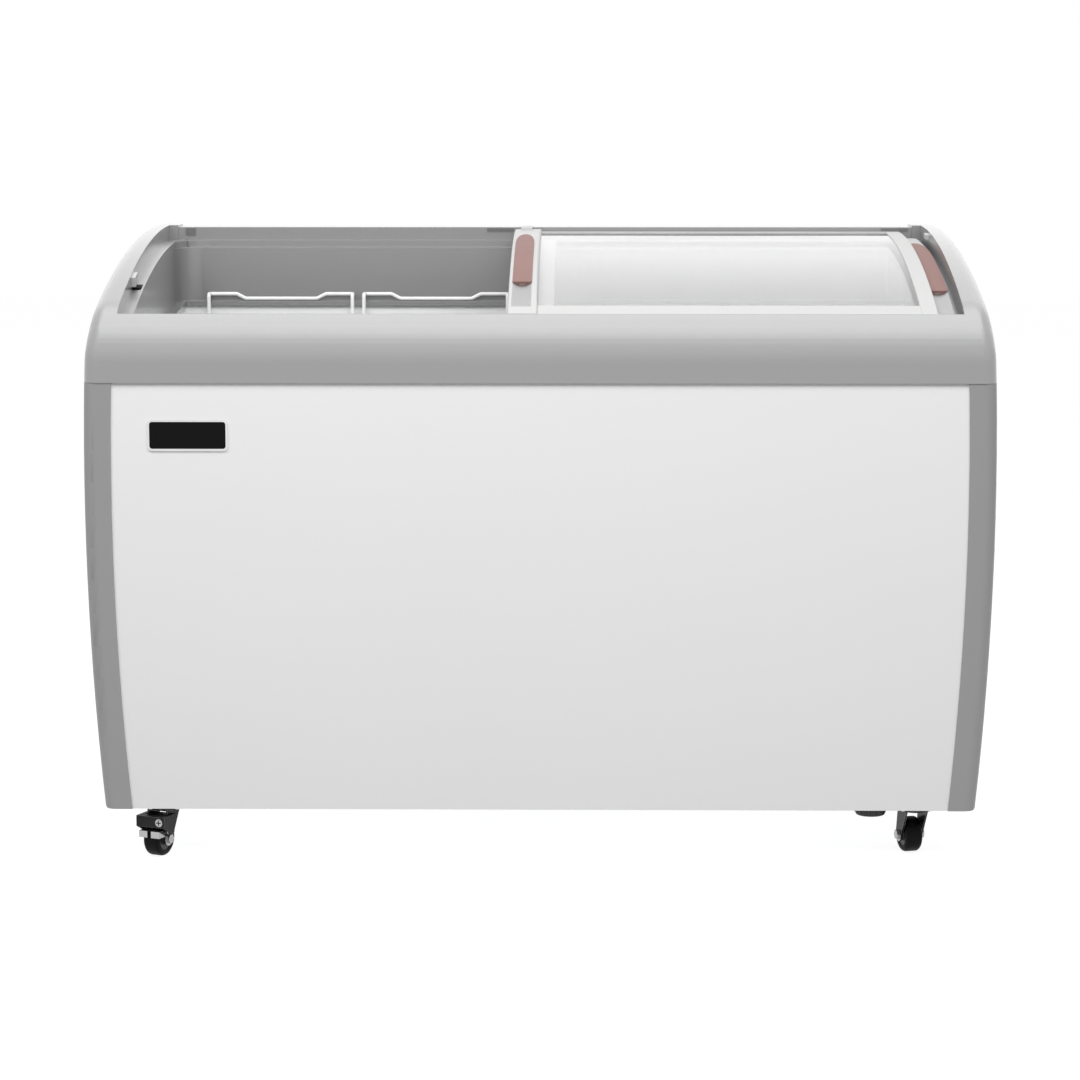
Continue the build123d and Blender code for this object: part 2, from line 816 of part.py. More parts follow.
def make_plate_border():
    """Light frame round the bare name plate, on the front panel."""
    d1 = trim_setback + trim_thickness
    x = plate_left_x + plate_width / 2
    z = plate_top_height - plate_height / 2
    w, h = plate_width + 2 * border_width, plate_height + 2 * border_width
    plane = Plane((x, y_of(d1), z), x_dir=(1, 0, 0), z_dir=(0, -1, 0))
    border = extrude(plane * RectangleRounded(w, h, plate_round + border_width), border_thickness)
    hole = extrude(plane * RectangleRounded(plate_width, plate_height, plate_round), border_thickness)
    return border - hole


def make_name_plate():
    d1 = trim_setback + trim_thickness
    x = plate_left_x + plate_width / 2
    z = plate_top_height - plate_height / 2
    plane = Plane((x, y_of(d1), z), x_dir=(1, 0, 0), z_dir=(0, -1, 0))
    return extrude(plane * RectangleRounded(plate_width, plate_height, plate_round), plate_thickness)


def lid_values(upper):
    """Left side, right side, level and depth range of one lid."""
    if upper:
        return (upper_lid_left, upper_lid_left + upper_lid_width, upper_lid_drop,
                rail_inner_d + lid_front_gap, rear_wall_d - lid_rear_gap)
    drop = upper_lid_drop + lid_handle_height + lids_pass_gap
    return (lower_lid_left, lower_lid_left + lower_lid_width, drop,
            upper_track_front_d + lower_lid_gap, upper_track_rear_d - lower_lid_gap)


def make_lid(upper):
    """All the pieces of one lid. The handle is on the left of the upper lid, right of the lower."""
    x0, x1, drop, d0, d1 = lid_values(upper)
    if upper:
        left, right = handle_strip_width, side_strip_width
        handle_x, strip_x = (x0, x0 + left), (x1 - right, x1)
    else:
        left, right = side_strip_width, handle_strip_width
        handle_x, strip_x = (x1 - right, x1), (x0, x0 + left)
    glass_drop = drop - glass_lift
    glass = curve_band(glass_drop, glass_drop - glass_thickness, d0 + front_strip_width - glass_tuck,
                       d1 - rear_strip_width + glass_tuck, x0 + left - glass_tuck, x1 - right + glass_tuck)
    top = drop - lid_strip_height
    front = curve_band(drop, top, d0, d0 + front_strip_width, x0 + left, x1 - right) - glass
    rear = curve_band(drop, top, d1 - rear_strip_width, d1, x0 + left, x1 - right) - glass
    strip = curve_band(drop, top, d0, d1, *strip_x)
    strip = fillet(long_top_edges(strip, drop), strip_edge_round) - glass
    handle = curve_band(drop, drop - lid_handle_height, d0, d1, *handle_x)
    end = [e for e in handle.edges() if e.bounding_box().size.Z > lid_strip_height
           and e.bounding_box().size.Y < lid_handle_height and e.center().Y > y_of(mouth_rear_d)]
    end.sort(key=lambda e: e.center().X, reverse=not upper)
    handle = fillet(end[:1], handle_end_round)
    handle = fillet(long_top_edges(handle, drop), handle_edge_round)
    crown = drop - lid_handle_height
    half = grip_width / 2
    middle = x0 + upper_grip_margin + half if upper else x1 - lower_grip_margin - half
    grip_cut = grip_shape(middle, crown + grip_pocket, crown - overrun)
    scoop_cut = curve_band(crown + scoop_depth, crown - overrun, scoop_front_d, grip_front_d,
                           middle - grip_width / 2, middle + grip_width / 2)
    if upper:
        tab = curve_band(crown + inner_wall, crown - tab_height, d1 - tab_rear_gap - tab_length,
                         d1 - tab_rear_gap, middle - tab_width / 2, middle + tab_width / 2)
        rim = [e for e in tab.edges()
               if e.center().Z > arc_z(crown - tab_height + tab_round, e.center().Y + half_depth)]
        tab = fillet(rim, tab_round)
        handle = handle + tab
    handle = handle - grip_cut - scoop_cut - glass
    grip = grip_shape(middle, crown + grip_pocket, crown - grip_proud)
    scoop = scoop_shape(middle, crown)
    glides = make_glides(x0, x1, drop, d0, d1, upper)
    return {"glass": glass, "front_strip": front, "rear_strip": rear, "side_strip": strip, "handle": handle,
            "grip": grip, "scoop": scoop, "glides": glides}


def long_top_edges(band, drop):
    """The two long upper edges of a strip that follows the curve."""
    long = [e for e in band.edges() if e.bounding_box().size.Y > half_depth]
    long.sort(key=lambda e: (e @ 0.5).Z)
    return long[-2:]


def grip_shape(middle, low, high):
    """Inlay: straight at the front, and drawn out to a long round point at the rear."""
    half = grip_width / 2
    slab = curve_band(low, high, grip_front_d, grip_rear_d, middle - half, middle + half)
    end = grip_rear_d - grip_taper
    tall = crest_height + overrun - seam_height
    outline = block(middle - half, middle + half, 0.0, end, seam_height, seam_height + tall)
    outline = outline + extrude(Pos(middle, y_of(end), seam_height) * Ellipse(half, grip_taper), tall)
    return slab & outline


def scoop_shape(middle, crown):
    """Metal finger scoop: a trough that follows the curve."""
    half = grip_width / 2
    slab = curve_band(crown + scoop_depth, crown, scoop_front_d, grip_front_d, middle - half, middle + half)
    d_mid = (scoop_front_d + grip_front_d) / 2
    lift = scoop_radius - scoop_depth + liner_wall
    d0, d1 = scoop_front_d - overrun, grip_front_d + overrun
    ends = [(middle, y_of(d), arc_z(crown - lift, d)) for d in (d0, d1)]
    centre = (middle, y_of(d_mid), arc_z(crown - lift, d_mid))
    path = ThreePointArc(ends[0], centre, ends[1])
    trough = sweep(Plane(path @ 0, z_dir=path % 0) * Circle(scoop_radius), path=path)
    return slab - trough


def make_glides(x0, x1, drop, d0, d1, upper):
    """Four pads under the lid, which run on the track floors."""
    floor = upper_floor_drop if upper else lower_floor_drop
    low, high = floor - touch_gap, drop
    pads = []
    for start in (x0 + glide_inset, x1 - glide_inset - glide_length):
        pads.append(curve_band(low, high, d0 + touch_gap, d0 + glide_depth, start, start + glide_length))
        pads.append(curve_band(low, high, d1 - glide_depth, d1 - touch_gap, start, start + glide_length))
    return Compound(children=pads)


def make_lid_stops():
    low = stop_top_drop + stop_height
    left = curve_band(low, stop_top_drop, stop_left_d, stop_left_d + stop_length, -arm_inner_half,
                      -arm_inner_half + stop_thickness)
    right = curve_band(stop_top_drop + stop_right_height, stop_top_drop, stop_right_d,
                       stop_right_d + stop_length, arm_inner_half - stop_thickness, arm_inner_half)
    pieces = [left, right]
    for x in (left_retainer_x, right_retainer_x):
        top = crest_height - retainer_top_drop
        pieces.append(block(x, x + retainer_length, rear_wall_d - retainer_depth, rear_wall_d,
                            top - retainer_height, top))
    pieces.append(block(corner_stop_x, corner_stop_x + corner_stop_length, rear_wall_d - retainer_depth,
                        rear_wall_d, top - corner_stop_height, top))
    return Compound(children=pieces)


def mesh_panel(plane, width, height, columns, rows):
    """Flat welded grid: wires all round and between."""
    sheet = plane * Rectangle(width, height)
    pitch_x = (width - basket_mesh) / columns
    pitch_y = (height - basket_mesh) / rows
    holes = []
    for i in range(columns):
        for j in range(rows):
            x = -width / 2 + basket_mesh / 2 + (i + 0.5) * pitch_x
            y = -height / 2 + basket_mesh / 2 + (j + 0.5) * pitch_y
            holes.append(Pos(x, y) * Rectangle(pitch_x - basket_mesh, pitch_y - basket_mesh))
    grid = Rectangle(width, height) - holes
    return extrude(plane * grid, basket_mesh)


def hanger(x0, x1, post_d, seat_d, seat_height):
    """Bent wire that rests its middle on a ledge, with a post down to the rim at each end."""
    half = basket_wire / 2
    high = seat_height + hanger_rise
    low = seat_height + half + touch_gap
    middle = (x0 + x1) / 2
    dip = hanger_dip_length / 2
    xa, xb = x0 + half, x1 - half
    foot = basket_rim_height + half
    points = [(xa, y_of(post_d), foot), (xa, y_of(post_d), high), (xa, y_of(seat_d), high)]
    points += [(middle - dip - hanger_ramp, y_of(seat_d), high), (middle - dip, y_of(seat_d), low)]
    points += [(middle + dip, y_of(seat_d), low), (middle + dip + hanger_ramp, y_of(seat_d), high)]
    points += [(xb, y_of(seat_d), high), (xb, y_of(post_d), high), (xb, y_of(post_d), foot)]
    return tube_along(points, half, hanger_bend)


def basket_box():
    """Front and rear outer faces of a basket's body."""
    front = mouth_front_d + ledge_reach + basket_lip_gap
    rear = mouth_rear_d - ledge_reach - basket_lip_gap
    return front, rear


def make_basket(x0):
    x1 = x0 + basket_width
    d0, d1 = basket_box()
    z0, z1 = basket_bottom_height, basket_rim_height
    mesh, wire = basket_mesh, basket_wire
    x_mid, d_mid, z_mid = (x0 + x1) / 2, (d0 + d1) / 2, (z0 + mesh + z1 - wire / 2) / 2
    tall = z1 - wire / 2 - z0 - mesh
    edge = (wire - mesh) / 2
    bottom_plane = Plane((x_mid, y_of(d_mid), z0), x_dir=(1, 0, 0), z_dir=(0, 0, 1))
    pieces = [mesh_panel(bottom_plane, basket_width - 2 * edge, d1 - d0 - 2 * edge, mesh_columns,
                         mesh_side_columns)]
    for x in (x0 + edge + mesh, x1 - edge):
        plane = Plane((x, y_of(d_mid), z_mid), x_dir=(0, 1, 0), z_dir=(-1, 0, 0))
        pieces.append(mesh_panel(plane, d1 - d0 - 2 * edge - 2 * mesh, tall, mesh_side_columns, mesh_rows))
    for d in (d0 + edge + mesh, d1 - edge):
        plane = Plane((x_mid, y_of(d), z_mid), x_dir=(1, 0, 0), z_dir=(0, -1, 0))
        pieces.append(mesh_panel(plane, basket_width - 2 * edge, tall, mesh_columns, mesh_rows))
    half = wire / 2
    for x in (x0 + half, x1 - half):
        pieces.append(rod((x, y_of(d0), z1), (x, y_of(d1), z1), half))
    for d in (d0 + half, d1 - half):
        pieces.append(rod((x0 + wire, y_of(d), z1), (x1 - wire, y_of(d), z1), half))
    pieces.append(hanger(x0, x1, d1 - half, mouth_rear_d - hanger_seat_inset, ledge_rear_height))
    pieces.append(hanger(x0, x1, d0 + half, mouth_front_d + hanger_seat_inset, ledge_front_height))
    return Compound(children=pieces)


def compressor_pot(inset, shoulder, low):
    """Domed pot, drawn in by inset."""
    radius = compressor_radius - inset
    pot = upright(compressor_x, compressor_d, low, shoulder, radius)
    squash = (compressor_dome - inset) / radius
    dome = scale(Sphere(radius), by=(1, 1, squash))
    dome = Pos(compressor_x, y_of(compressor_d), shoulder) * dome
    above = block(compressor_x - radius, compressor_x + radius, compressor_d - radius,
                  compressor_d + radius, shoulder, shoulder + compressor_dome)
    return pot + (dome & above)


def make_compressor():
    """Hermetic pot with a domed top on a foot plate, and two pipe stubs."""
    z0 = cabinet_bottom + pan_thickness + touch_gap
    low = z0 + compressor_foot_height
    shoulder = low + compressor_height - compressor_dome
    pot = compressor_pot(0.0, shoulder, low)
    half = compressor_foot_width / 2
    for offset in (-1, 1):
        x = compressor_x + offset * (compressor_foot_span - compressor_foot_width) / 2
        pot = pot + block(x - half, x + half, compressor_d - compressor_foot_depth / 2,
                          compressor_d + compressor_foot_depth / 2, z0, low)
    pot = pot + block(compressor_x - compressor_foot_span / 2, compressor_x + compressor_foot_span / 2,
                      compressor_d - compressor_foot_width, compressor_d + compressor_foot_width,
                      low - inner_wall, low + inner_wall)
    for offset in (-1, 1):
        x = compressor_x + offset * stub_spread
        pot = pot + rod((x, y_of(compressor_d), stub_height()), stub_end(offset), stub_radius)
    return pot - compressor_pot(compressor_wall, shoulder, low + compressor_wall)


def stub_height():
    return cabinet_bottom + compressor_height / 2


def stub_end(side):
    """Free end of a compressor stub; side is -1 or 1."""
    end = compressor_d - compressor_radius - stub_length
    return (compressor_x + side * stub_spread, y_of(end), stub_height())


def condenser_base():
    return cabinet_bottom + pan_thickness + touch_gap


def make_condenser():
    """Block of upright fins on a snaking tube, between two end plates."""
    z0 = condenser_base()
    x0 = condenser_x - condenser_width / 2
    d0, d1 = condenser_d - condenser_depth / 2, condenser_d + condenser_depth / 2
    pitch = (condenser_width - fin_thickness) / (fin_count - 1)
    coil = None
    for i in range(fin_count):
        x = x0 + i * pitch
        fin = block(x, x + fin_thickness, d0, d1, z0, z0 + condenser_height)
        coil = fin if coil is None else coil + fin
    row_pitch = condenser_height / condenser_tube_rows
    for row in range(condenser_tube_rows):
        z = z0 + (row + 0.5) * row_pitch
        coil = coil + rod((x0 - condenser_tube_radius, y_of(condenser_d), z),
                          (x0 + condenser_width + condenser_tube_radius, y_of(condenser_d), z),
                          condenser_tube_radius)
    return coil


def fan_height():
    return condenser_base() + condenser_height / 2


def fan_rod(d0, d1, radius):
    """Round bar on the fan's axis between two depths."""
    return rod((condenser_x, y_of(d0), fan_height()), (condenser_x, y_of(d1), fan_height()), radius)


def make_fan_blade():
    """Hub with pitched blades, bored for the motor's shaft."""
    z = fan_height()
    half = fan_hub_length / 2
    hub = fan_rod(fan_d - half, fan_d + half, fan_hub_radius)
    reach = fan_radius - fan_hub_radius + inner_wall
    for i in range(fan_blade_count):
        blade = Box(reach, fan_blade_chord, fan_blade_thickness)
        blade = Pos(fan_hub_radius - inner_wall + reach / 2, 0, 0) * Rot(fan_blade_pitch, 0, 0) * blade
        swept = Rot(0, i * 2 * half_turn / fan_blade_count, 0) * blade
        hub = hub + Pos(condenser_x, y_of(fan_d), z) * swept
    limit = fan_rod(fan_d - fan_hub_length, fan_d + fan_hub_length, fan_radius)
    bore = fan_rod(fan_d - fan_hub_length, fan_d + fan_hub_length, fan_shaft_radius + fan_shaft_play)
    return (hub & limit) - bore


def make_fan_motor():
    """Motor with its shaft and the bracket down to the base pan."""
    hub_half = fan_hub_length / 2
    face = fan_d + hub_half + motor_gap
    back = face + motor_length
    motor = fan_rod(face, back, motor_radius)
    shaft = fan_rod(fan_d - hub_half, face, fan_shaft_radius)
    base = condenser_base()
    x0, x1 = condenser_x - bracket_width / 2, condenser_x + bracket_width / 2
    post = block(x0, x1, back - bracket_thickness, back, base, fan_height())
    foot = block(x0, x1, back - bracket_width / 2, back, base, base + bracket_thickness)
    return motor + shaft + post + foot


def make_drier():
    """Upright filter drier with tapered necks."""
    x, y = drier_x, y_of(drier_d)
    z0 = drier_height - drier_length / 2
    body = Pos(x, y, drier_height) * Cylinder(drier_radius, drier_length)
    neck = Cone(drier_radius, drier_neck_radius, drier_neck_length)
    body = body + Pos(x, y, z0 + drier_length + drier_neck_length / 2) * neck
    return body + Pos(x, y, z0 - drier_neck_length / 2) * Rot(half_turn, 0, 0) * neck


def make_lines():
    """Copper lines: compressor to condenser, condenser to drier, drier into the foam."""
    half_row = condenser_height / condenser_tube_rows / 2
    z_low = condenser_base() + half_row
    z_top = condenser_base() + condenser_height - half_row
    right = condenser_x + condenser_width / 2 + condenser_tube_radius
    reach = right + line_bend
    (left_x, left_y, z_stub), (right_x, right_y, _) = stub_end(-1), stub_end(1)
    y_run, y_c, y_d = right_y - stub_run, y_of(condenser_d), y_of(drier_d)
    discharge = tube_along([(right_x, right_y, z_stub), (right_x, y_run, z_stub), (reach, y_run, z_stub),
                            (reach, y_c, z_stub), (reach, y_c, z_top), (right, y_c, z_top)],
                           line_radius, tight_bend)
    neck = drier_length / 2 + drier_neck_length
    liquid = tube_along([(right, y_c, z_low), (reach, y_c, z_low), (reach, y_d, z_low),
                         (drier_x, y_d, z_low), (drier_x, y_d, drier_height - neck)],
                        line_radius, neck_bend)
    roof = hump_height - compartment_roof_gap - touch_gap
    capillary = rod((drier_x, y_d, drier_height + neck), (drier_x, y_d, roof), line_radius / 2)
    suction = tube_along([(left_x, left_y, z_stub), (left_x, y_run, z_stub), (left_x, y_run, roof)],
                         line_radius, line_bend)
    return Compound(children=[discharge, liquid, capillary, suction])


def make_evaporator():
    """One tube that winds down round the liner, a quarter of the pitch on each side."""
    setback = liner_offset() - evaporator_radius - evaporator_gap
    half_x = ledge_half - setback
    y0, y1 = y_of(mouth_front_d + setback), y_of(mouth_rear_d - setback)
    corners = [(half_x, y0), (half_x, y1), (-half_x, y1), (-half_x, y0)]
    points = [(half_x, (y0 + y1) / 2, evaporator_top)]
    steps = 4 * evaporator_turns
    for i in range(steps):
        x, y = corners[(i + 1) % 4]
        points.append((x, y, evaporator_top - (i + 1) * evaporator_pitch / 4))
    points.append((half_x, (y0 + y1) / 2, evaporator_top - (steps + 1) * evaporator_pitch / 4))
    return tube_along(points, evaporator_radius, liner_round + evaporator_radius)


def rear_face_d():
    return overall_depth - trim_setback - trim_thickness


def thermostat_block(grow, d0, d1):
    """Block over the thermostat's opening, grown all round."""
    half_w, half_h = thermostat_width / 2 + grow, thermostat_height / 2 + grow
    return block(thermostat_x - half_w, thermostat_x + half_w, d0, d1, thermostat_z - half_h,
                 thermostat_z + half_h)


def make_thermostat_housing():
    """Open cup set into the rear panel, with a flange behind the panel and a bored floor."""
    wall, rear = thermostat_wall, rear_face_d()
    behind = rear - panel_thickness
    cup = thermostat_block(-touch_gap, rear - thermostat_depth, rear)
    flange = thermostat_block(thermostat_flange, behind - wall, behind)
    room = thermostat_block(-touch_gap - wall, rear - thermostat_depth + wall, rear + overrun)
    shaft = rod((thermostat_x, y_of(half_depth), thermostat_z), (thermostat_x, y_of(rear), thermostat_z),
                knob_stem_radius + knob_play)
    return cup + flange - room - shaft


def make_knob():
    """Round temperature knob with a raised bar, on its stem."""
    x, z = thermostat_x, thermostat_z
    d0 = rear_face_d() - thermostat_depth + thermostat_wall + knob_gap
    knob = rod((x, y_of(d0), z), (x, y_of(d0 + knob_length), z), knob_radius)
    knob = knob + block(x - knob_grip_width / 2, x + knob_grip_width / 2, d0,
                        d0 + knob_length + knob_grip_length, z - knob_grip_height / 2,
                        z + knob_grip_height / 2)
    stem = rod((x, y_of(d0 - knob_stem_length), z), (x, y_of(d0), z), knob_stem_radius)
    return knob + stem


def make_drain_tube():
    """Short tube from the compartment floor down through the base pan."""
    floor = cabinet_bottom + pan_thickness
    radius = drain_tube_radius - touch_gap
    z0, z1 = cabinet_bottom - drain_tube_below, floor + pan_flange_height
    outer = upright(drain_x, drain_d, z0, z1, radius)
    flange = upright(drain_x, drain_d, floor + touch_gap, floor + touch_gap + drain_tube_wall,
                     drain_tube_radius + drain_tube_wall)
    bore = upright(drain_x, drain_d, z0 - overrun, z1 + overrun, radius - drain_tube_wall)
    return outer + flange - bore


def make_drain_cap():
    """Ribbed screw cap over the drain tube's lower end."""
    z1 = cabinet_bottom - 2 * touch_gap
    z0 = z1 - drain_cap_height
    cap = upright(drain_x, drain_d, z0, z1, drain_cap_radius)
    rim = [e for e in cap.edges() if e.center().Z < z0 + touch_gap]
    cap = fillet(rim, drain_cap_wall)
    for i in range(drain_rib_count):
        angle = math.radians(i * 2 * half_turn / drain_rib_count)
        x = drain_x + drain_cap_radius * math.cos(angle)
        d = drain_d + drain_cap_radius * math.sin(angle)
        cap = cap + upright(x, d, z0 + drain_rib_start, z1, drain_rib_radius)
    bore = upright(drain_x, drain_d, cabinet_bottom - drain_tube_below - touch_gap, z1 + overrun,
                   drain_tube_radius - touch_gap + drain_cap_play)
    return cap - bore


def make_gland():
    """Bushing for the supply cord in the rear panel; its bore is open."""
    rear = rear_face_d()
    x, z = gland_x, gland_z
    body = rod((x, y_of(rear - gland_inner_length), z), (x, y_of(rear), z), gland_body_radius - touch_gap)
    flange = rod((x, y_of(rear), z), (x, y_of(rear + gland_flange_thickness), z), gland_flange_radius)
    bore = rod((x, y_of(half_depth), z), (x, y_of(overall_depth + overrun), z), gland_bore)
    return body + flange - bore


def caster_places():
    """Name, X and depth of each caster's swivel axis."""
    return (("front_left", -caster_x, caster_front_d), ("front_right", caster_x, caster_front_d),
            ("rear_left", -caster_x, caster_rear_d), ("rear_right", caster_x, caster_rear_d))


def make_caster_plates():
    """Four mounting plates, each with its raceway and king pin."""
    plates = []
    z1 = cabinet_bottom
    z0 = z1 - caster_plate_thickness
    outline = RectangleRounded(caster_plate, caster_plate, caster_plate_round)
    for name, x, d in caster_places():
        sheet = extrude(Pos(x, y_of(d), z0) * outline, caster_plate_thickness)
        plate = sheet + upright(x, d, z0 - raceway_height / 2, z0, raceway_radius)
        low = crown_top() - fork_thickness - swivel_gap
        pin = upright(x, d, low, z0, kingpin_radius)
        head = upright(x, d, low - pin_head_height, low, pin_head_radius)
        plates.append(plate + pin + head)
    return Compound(children=plates)


def crown_top():
    """Top of the fork's crown, just under the raceway."""
    return cabinet_bottom - caster_plate_thickness - raceway_height / 2 - swivel_gap


def turned(shape, name, x, d):
    """Carry a piece from the fork's own frame to its caster: turn it about the swivel axis."""
    yaw = caster_yaw[name]
    if caster_trails_front[name]:
        yaw = yaw + half_turn
    return Pos(x, y_of(d), 0) * Rot(0, 0, yaw) * shape


def local_rod(u, z, w0, w1, radius):
    """Bar across the fork: X across, Y along the trail."""
    return rod((w0, u, z), (w1, u, z), radius)


def fork_inner():
    return wheel_width / 2 + fork_gap


def fork_outer():
    return fork_inner() + fork_thickness


def fork_sheet(points, w0, w1):
    """Plate over a closed outline of (u, z) points, between two places across the fork."""
    face = Face(Wire(Polyline(*[(w0, u, z) for u, z in points], close=True)))
    return extrude(face, w1 - w0, dir=(1, 0, 0))


def fork_block(w0, w1, u0, u1, z0, z1):
    return Pos((w0 + w1) / 2, (u0 + u1) / 2, (z0 + z1) / 2) * Box(w1 - w0, u1 - u0, z1 - z0)


def make_fork(with_brake):
    """Pressed fork with two cheeks, a crown and the axle bolt, in its own frame."""
    inner, outer, thick = fork_inner(), fork_outer(), fork_thickness
    top = crown_top()
    fork = Pos(0, 0, top - thick / 2) * Cylinder(fork_crown_half, thick)
    fork = fork + fork_block(-outer, outer, 0, fork_crown_half, top - thick, top)
    half = fork_arm_width / 2
    foot = [(caster_trail - half, wheel_radius), (caster_trail + half, wheel_radius)]
    head = [(fork_crown_half, top), (-fork_crown_half / 2, top)]
    for w0, w1 in ((-outer, -inner), (inner, outer)):
        fork = fork + fork_sheet(foot + head, w0, w1)
        fork = fork + local_rod(caster_trail, wheel_radius, w0, w1, half)
        if with_brake:
            fork = fork + local_rod(lever_pivot_u, lever_height(), w0, w1, lever_ear_radius)
            fork = fork + fork_lug(w0, w1)
    fork = fork - Pos(0, 0, top - thick / 2) * Cylinder(kingpin_radius + kingpin_play, 2 * thick)
    fork = fork - local_rod(caster_trail, wheel_radius, -2 * outer, 2 * outer, axle_radius)
    if with_brake:
        fork = fork - local_rod(lever_pivot_u, lever_height(), -2 * outer, 2 * outer,
                                lever_pivot_radius + lever_pivot_play)
    bolt = local_rod(caster_trail, wheel_radius, -outer, outer, axle_radius)
    head = local_rod(caster_trail, wheel_radius, outer, outer + axle_head_length, axle_head_radius)
    plane = Plane((-outer, caster_trail, wheel_radius), x_dir=(0, 1, 0), z_dir=(-1, 0, 0))
    nut = extrude(plane * RegularPolygon(axle_head_radius, 6), axle_head_length)
    return fork, bolt + head + nut


def fork_lug(w0, w1):
    """Arm from a cheek to the front of the wheel, bent across it; the two stop short of the middle."""
    z0, z1 = lug_bottom_height, lug_bottom_height + lug_height
    arm = fork_block(w0, w1, caster_trail, lug_front_u, z0, z1)
    across = fork_block(min(w0, lug_middle_gap / 2), max(w1, -lug_middle_gap / 2),
                        lug_front_u - lug_thickness, lug_front_u, z0, z1)
    return arm + across


def make_wheel():
    """Tyre and hub in one, with shallow recesses in both faces, in the fork's own frame."""
    half = wheel_width / 2
    wheel = local_rod(0, 0, -half, half, wheel_radius)
    wheel = fillet(wheel.edges().filter_by(GeomType.CIRCLE), wheel_round)
    deep = 2 * hub_recess
    for side in (-1, 1):
        ring = local_rod(0, 0, side * (half - hub_recess), side * (half + hub_recess), hub_radius + deep)
        boss = local_rod(0, 0, side * (half - deep), side * half, hub_radius - deep)
        wheel = wheel - (ring - boss)
    wheel = wheel - local_rod(0, 0, -2 * half, 2 * half, axle_radius + axle_play)
    return Pos(0, caster_trail, wheel_radius) * wheel


def lever_height():
    """Height of the brake lever's pivot pin."""
    return crown_top() - lever_pivot_drop


def make_brake_lever():
    """Boxed foot lever over the front of the wheel, with its pivot pin and front screw."""
    half = fork_outer() + axle_head_length + lever_side_gap + lever_wall
    wall, front = lever_wall, lever_front_u
    top = crown_top() - lever_top_drop
    low = top - lever_front_height
    hood = fork_block(-half, half, lever_rear_u, front, top - wall, top)
    hood = hood + fork_block(-half, half, front - wall, front, low, top)
    side = [(lever_rear_u, top), (front, top), (front, low), (lever_side_front_u, top - lever_side_height),
            (lever_side_rear_u, top - lever_side_height)]
    hood = hood + fork_sheet(side, -half, wall - half) + fork_sheet(side, half - wall, half)
    for w0, w1 in ((-fork_outer(), -fork_inner()), (fork_inner(), fork_outer())):
        hood = hood - fork_block(w0 - touch_gap, w1 + touch_gap, 0, lever_slot_end_u, top - 2 * wall,
                                 top + wall)
    sleeve = fork_inner() - touch_gap
    hood = hood + local_rod(lever_pivot_u, lever_height(), -sleeve, sleeve, lever_ear_radius)
    hood = hood + local_rod(lever_pivot_u, lever_height(), -half, half, lever_pivot_radius)
    place = Plane((lever_screw_inset - half, front, (low + top) / 2), x_dir=(1, 0, 0), z_dir=(0, 1, 0))
    return hood + extrude(place * Circle(lever_screw_radius), lever_screw_height)


def make_screws():
    """Caster bolts under the plates and the rear panel's screws."""
    heads = []
    reach = caster_plate / 2 - caster_bolt_inset
    z1 = cabinet_bottom - caster_plate_thickness
    corners = [(sx * reach, sd * reach) for sx in (-1, 1) for sd in (-1, 1)]
    for name, x, d in caster_places():
        for dx, dd in corners:
            heads.append(polygon_head(x + dx, d + dd, z1 - caster_bolt_height, z1, caster_bolt_radius))
    rear = rear_face_d()
    reach = half_width(cabinet_bottom) - trim_front_leg - 3 * screw_head_radius
    for x in (-reach, 0.0, reach):
        for z in (cabinet_bottom + grille_border, seam_height - 2 * grille_border):
            heads.append(rod((x, y_of(rear), z), (x, y_of(rear + screw_head_height), z), screw_head_radius))
    return Compound(children=heads)


def main():
    save(make_top_frame(), "top_frame")
    save(make_rear_rail(), "rear_rail")
    save(make_lid_stops(), "lid_stops")
    save(make_collar(), "inner_collar")
    save(make_liner(), "inner_liner")
    save(make_foam(), "foam_insulation")
    save(make_front_panel(), "front_panel")
    save(make_rear_panel(), "rear_panel")
    save(make_side_panel(-1), "left_side_panel")
    save(make_side_panel(1), "right_side_panel")
    for name, trim in make_trims().items():
        save(trim, name + "_trim")
    save(make_base_pan(), "base_pan")
    save(make_plate_border(), "name_plate_border")
    save(make_name_plate(), "name_plate")
    save(make_grille(), "vent_grille")
    for lid, upper in (("upper_lid", True), ("lower_lid", False)):
        for piece, shape in make_lid(upper).items():
            save(shape, lid + "_" + piece)
    save(make_basket(left_basket_x), "left_basket")
    save(make_basket(left_basket_x + basket_spacing), "right_basket")
    save(make_compressor(), "compressor")
    save(make_condenser(), "condenser")
    save(make_fan_blade(), "fan_blade")
    save(make_fan_motor(), "fan_motor")
    save(make_drier(), "filter_drier")
    save(make_lines(), "refrigerant_lines")
    save(make_evaporator(), "evaporator_tube")
    save(make_thermostat_housing(), "thermostat_housing")
    save(make_knob(), "thermostat_knob")
    save(make_drain_tube(), "drain_tube")
    save(make_drain_cap(), "drain_cap")
    save(make_gland(), "cord_gland")
    save(make_caster_plates(), "caster_plates")
    for name, x, d in caster_places():
        braked = name in ("front_left", "rear_right")
        fork, bolt = make_fork(braked)
        save(turned(Compound(children=[fork, bolt]), name, x, d), name + "_fork")
        save(turned(make_wheel(), name, x, d), name + "_wheel")
        if braked:
            save(turned(make_brake_lever(), name, x, d), name + "_brake_lever")
    save(make_screws(), "screws")


main()
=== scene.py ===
"""Looks of a chest freezer with curved sliding glass lids: finishes, wire baskets, wheels and stage."""

import json
import math

import bmesh
import bpy
from bpy.props import FloatProperty, FloatVectorProperty, IntProperty, PointerProperty
from bpy.types import Operator, Panel, PropertyGroup
from mathutils import Matrix, Vector


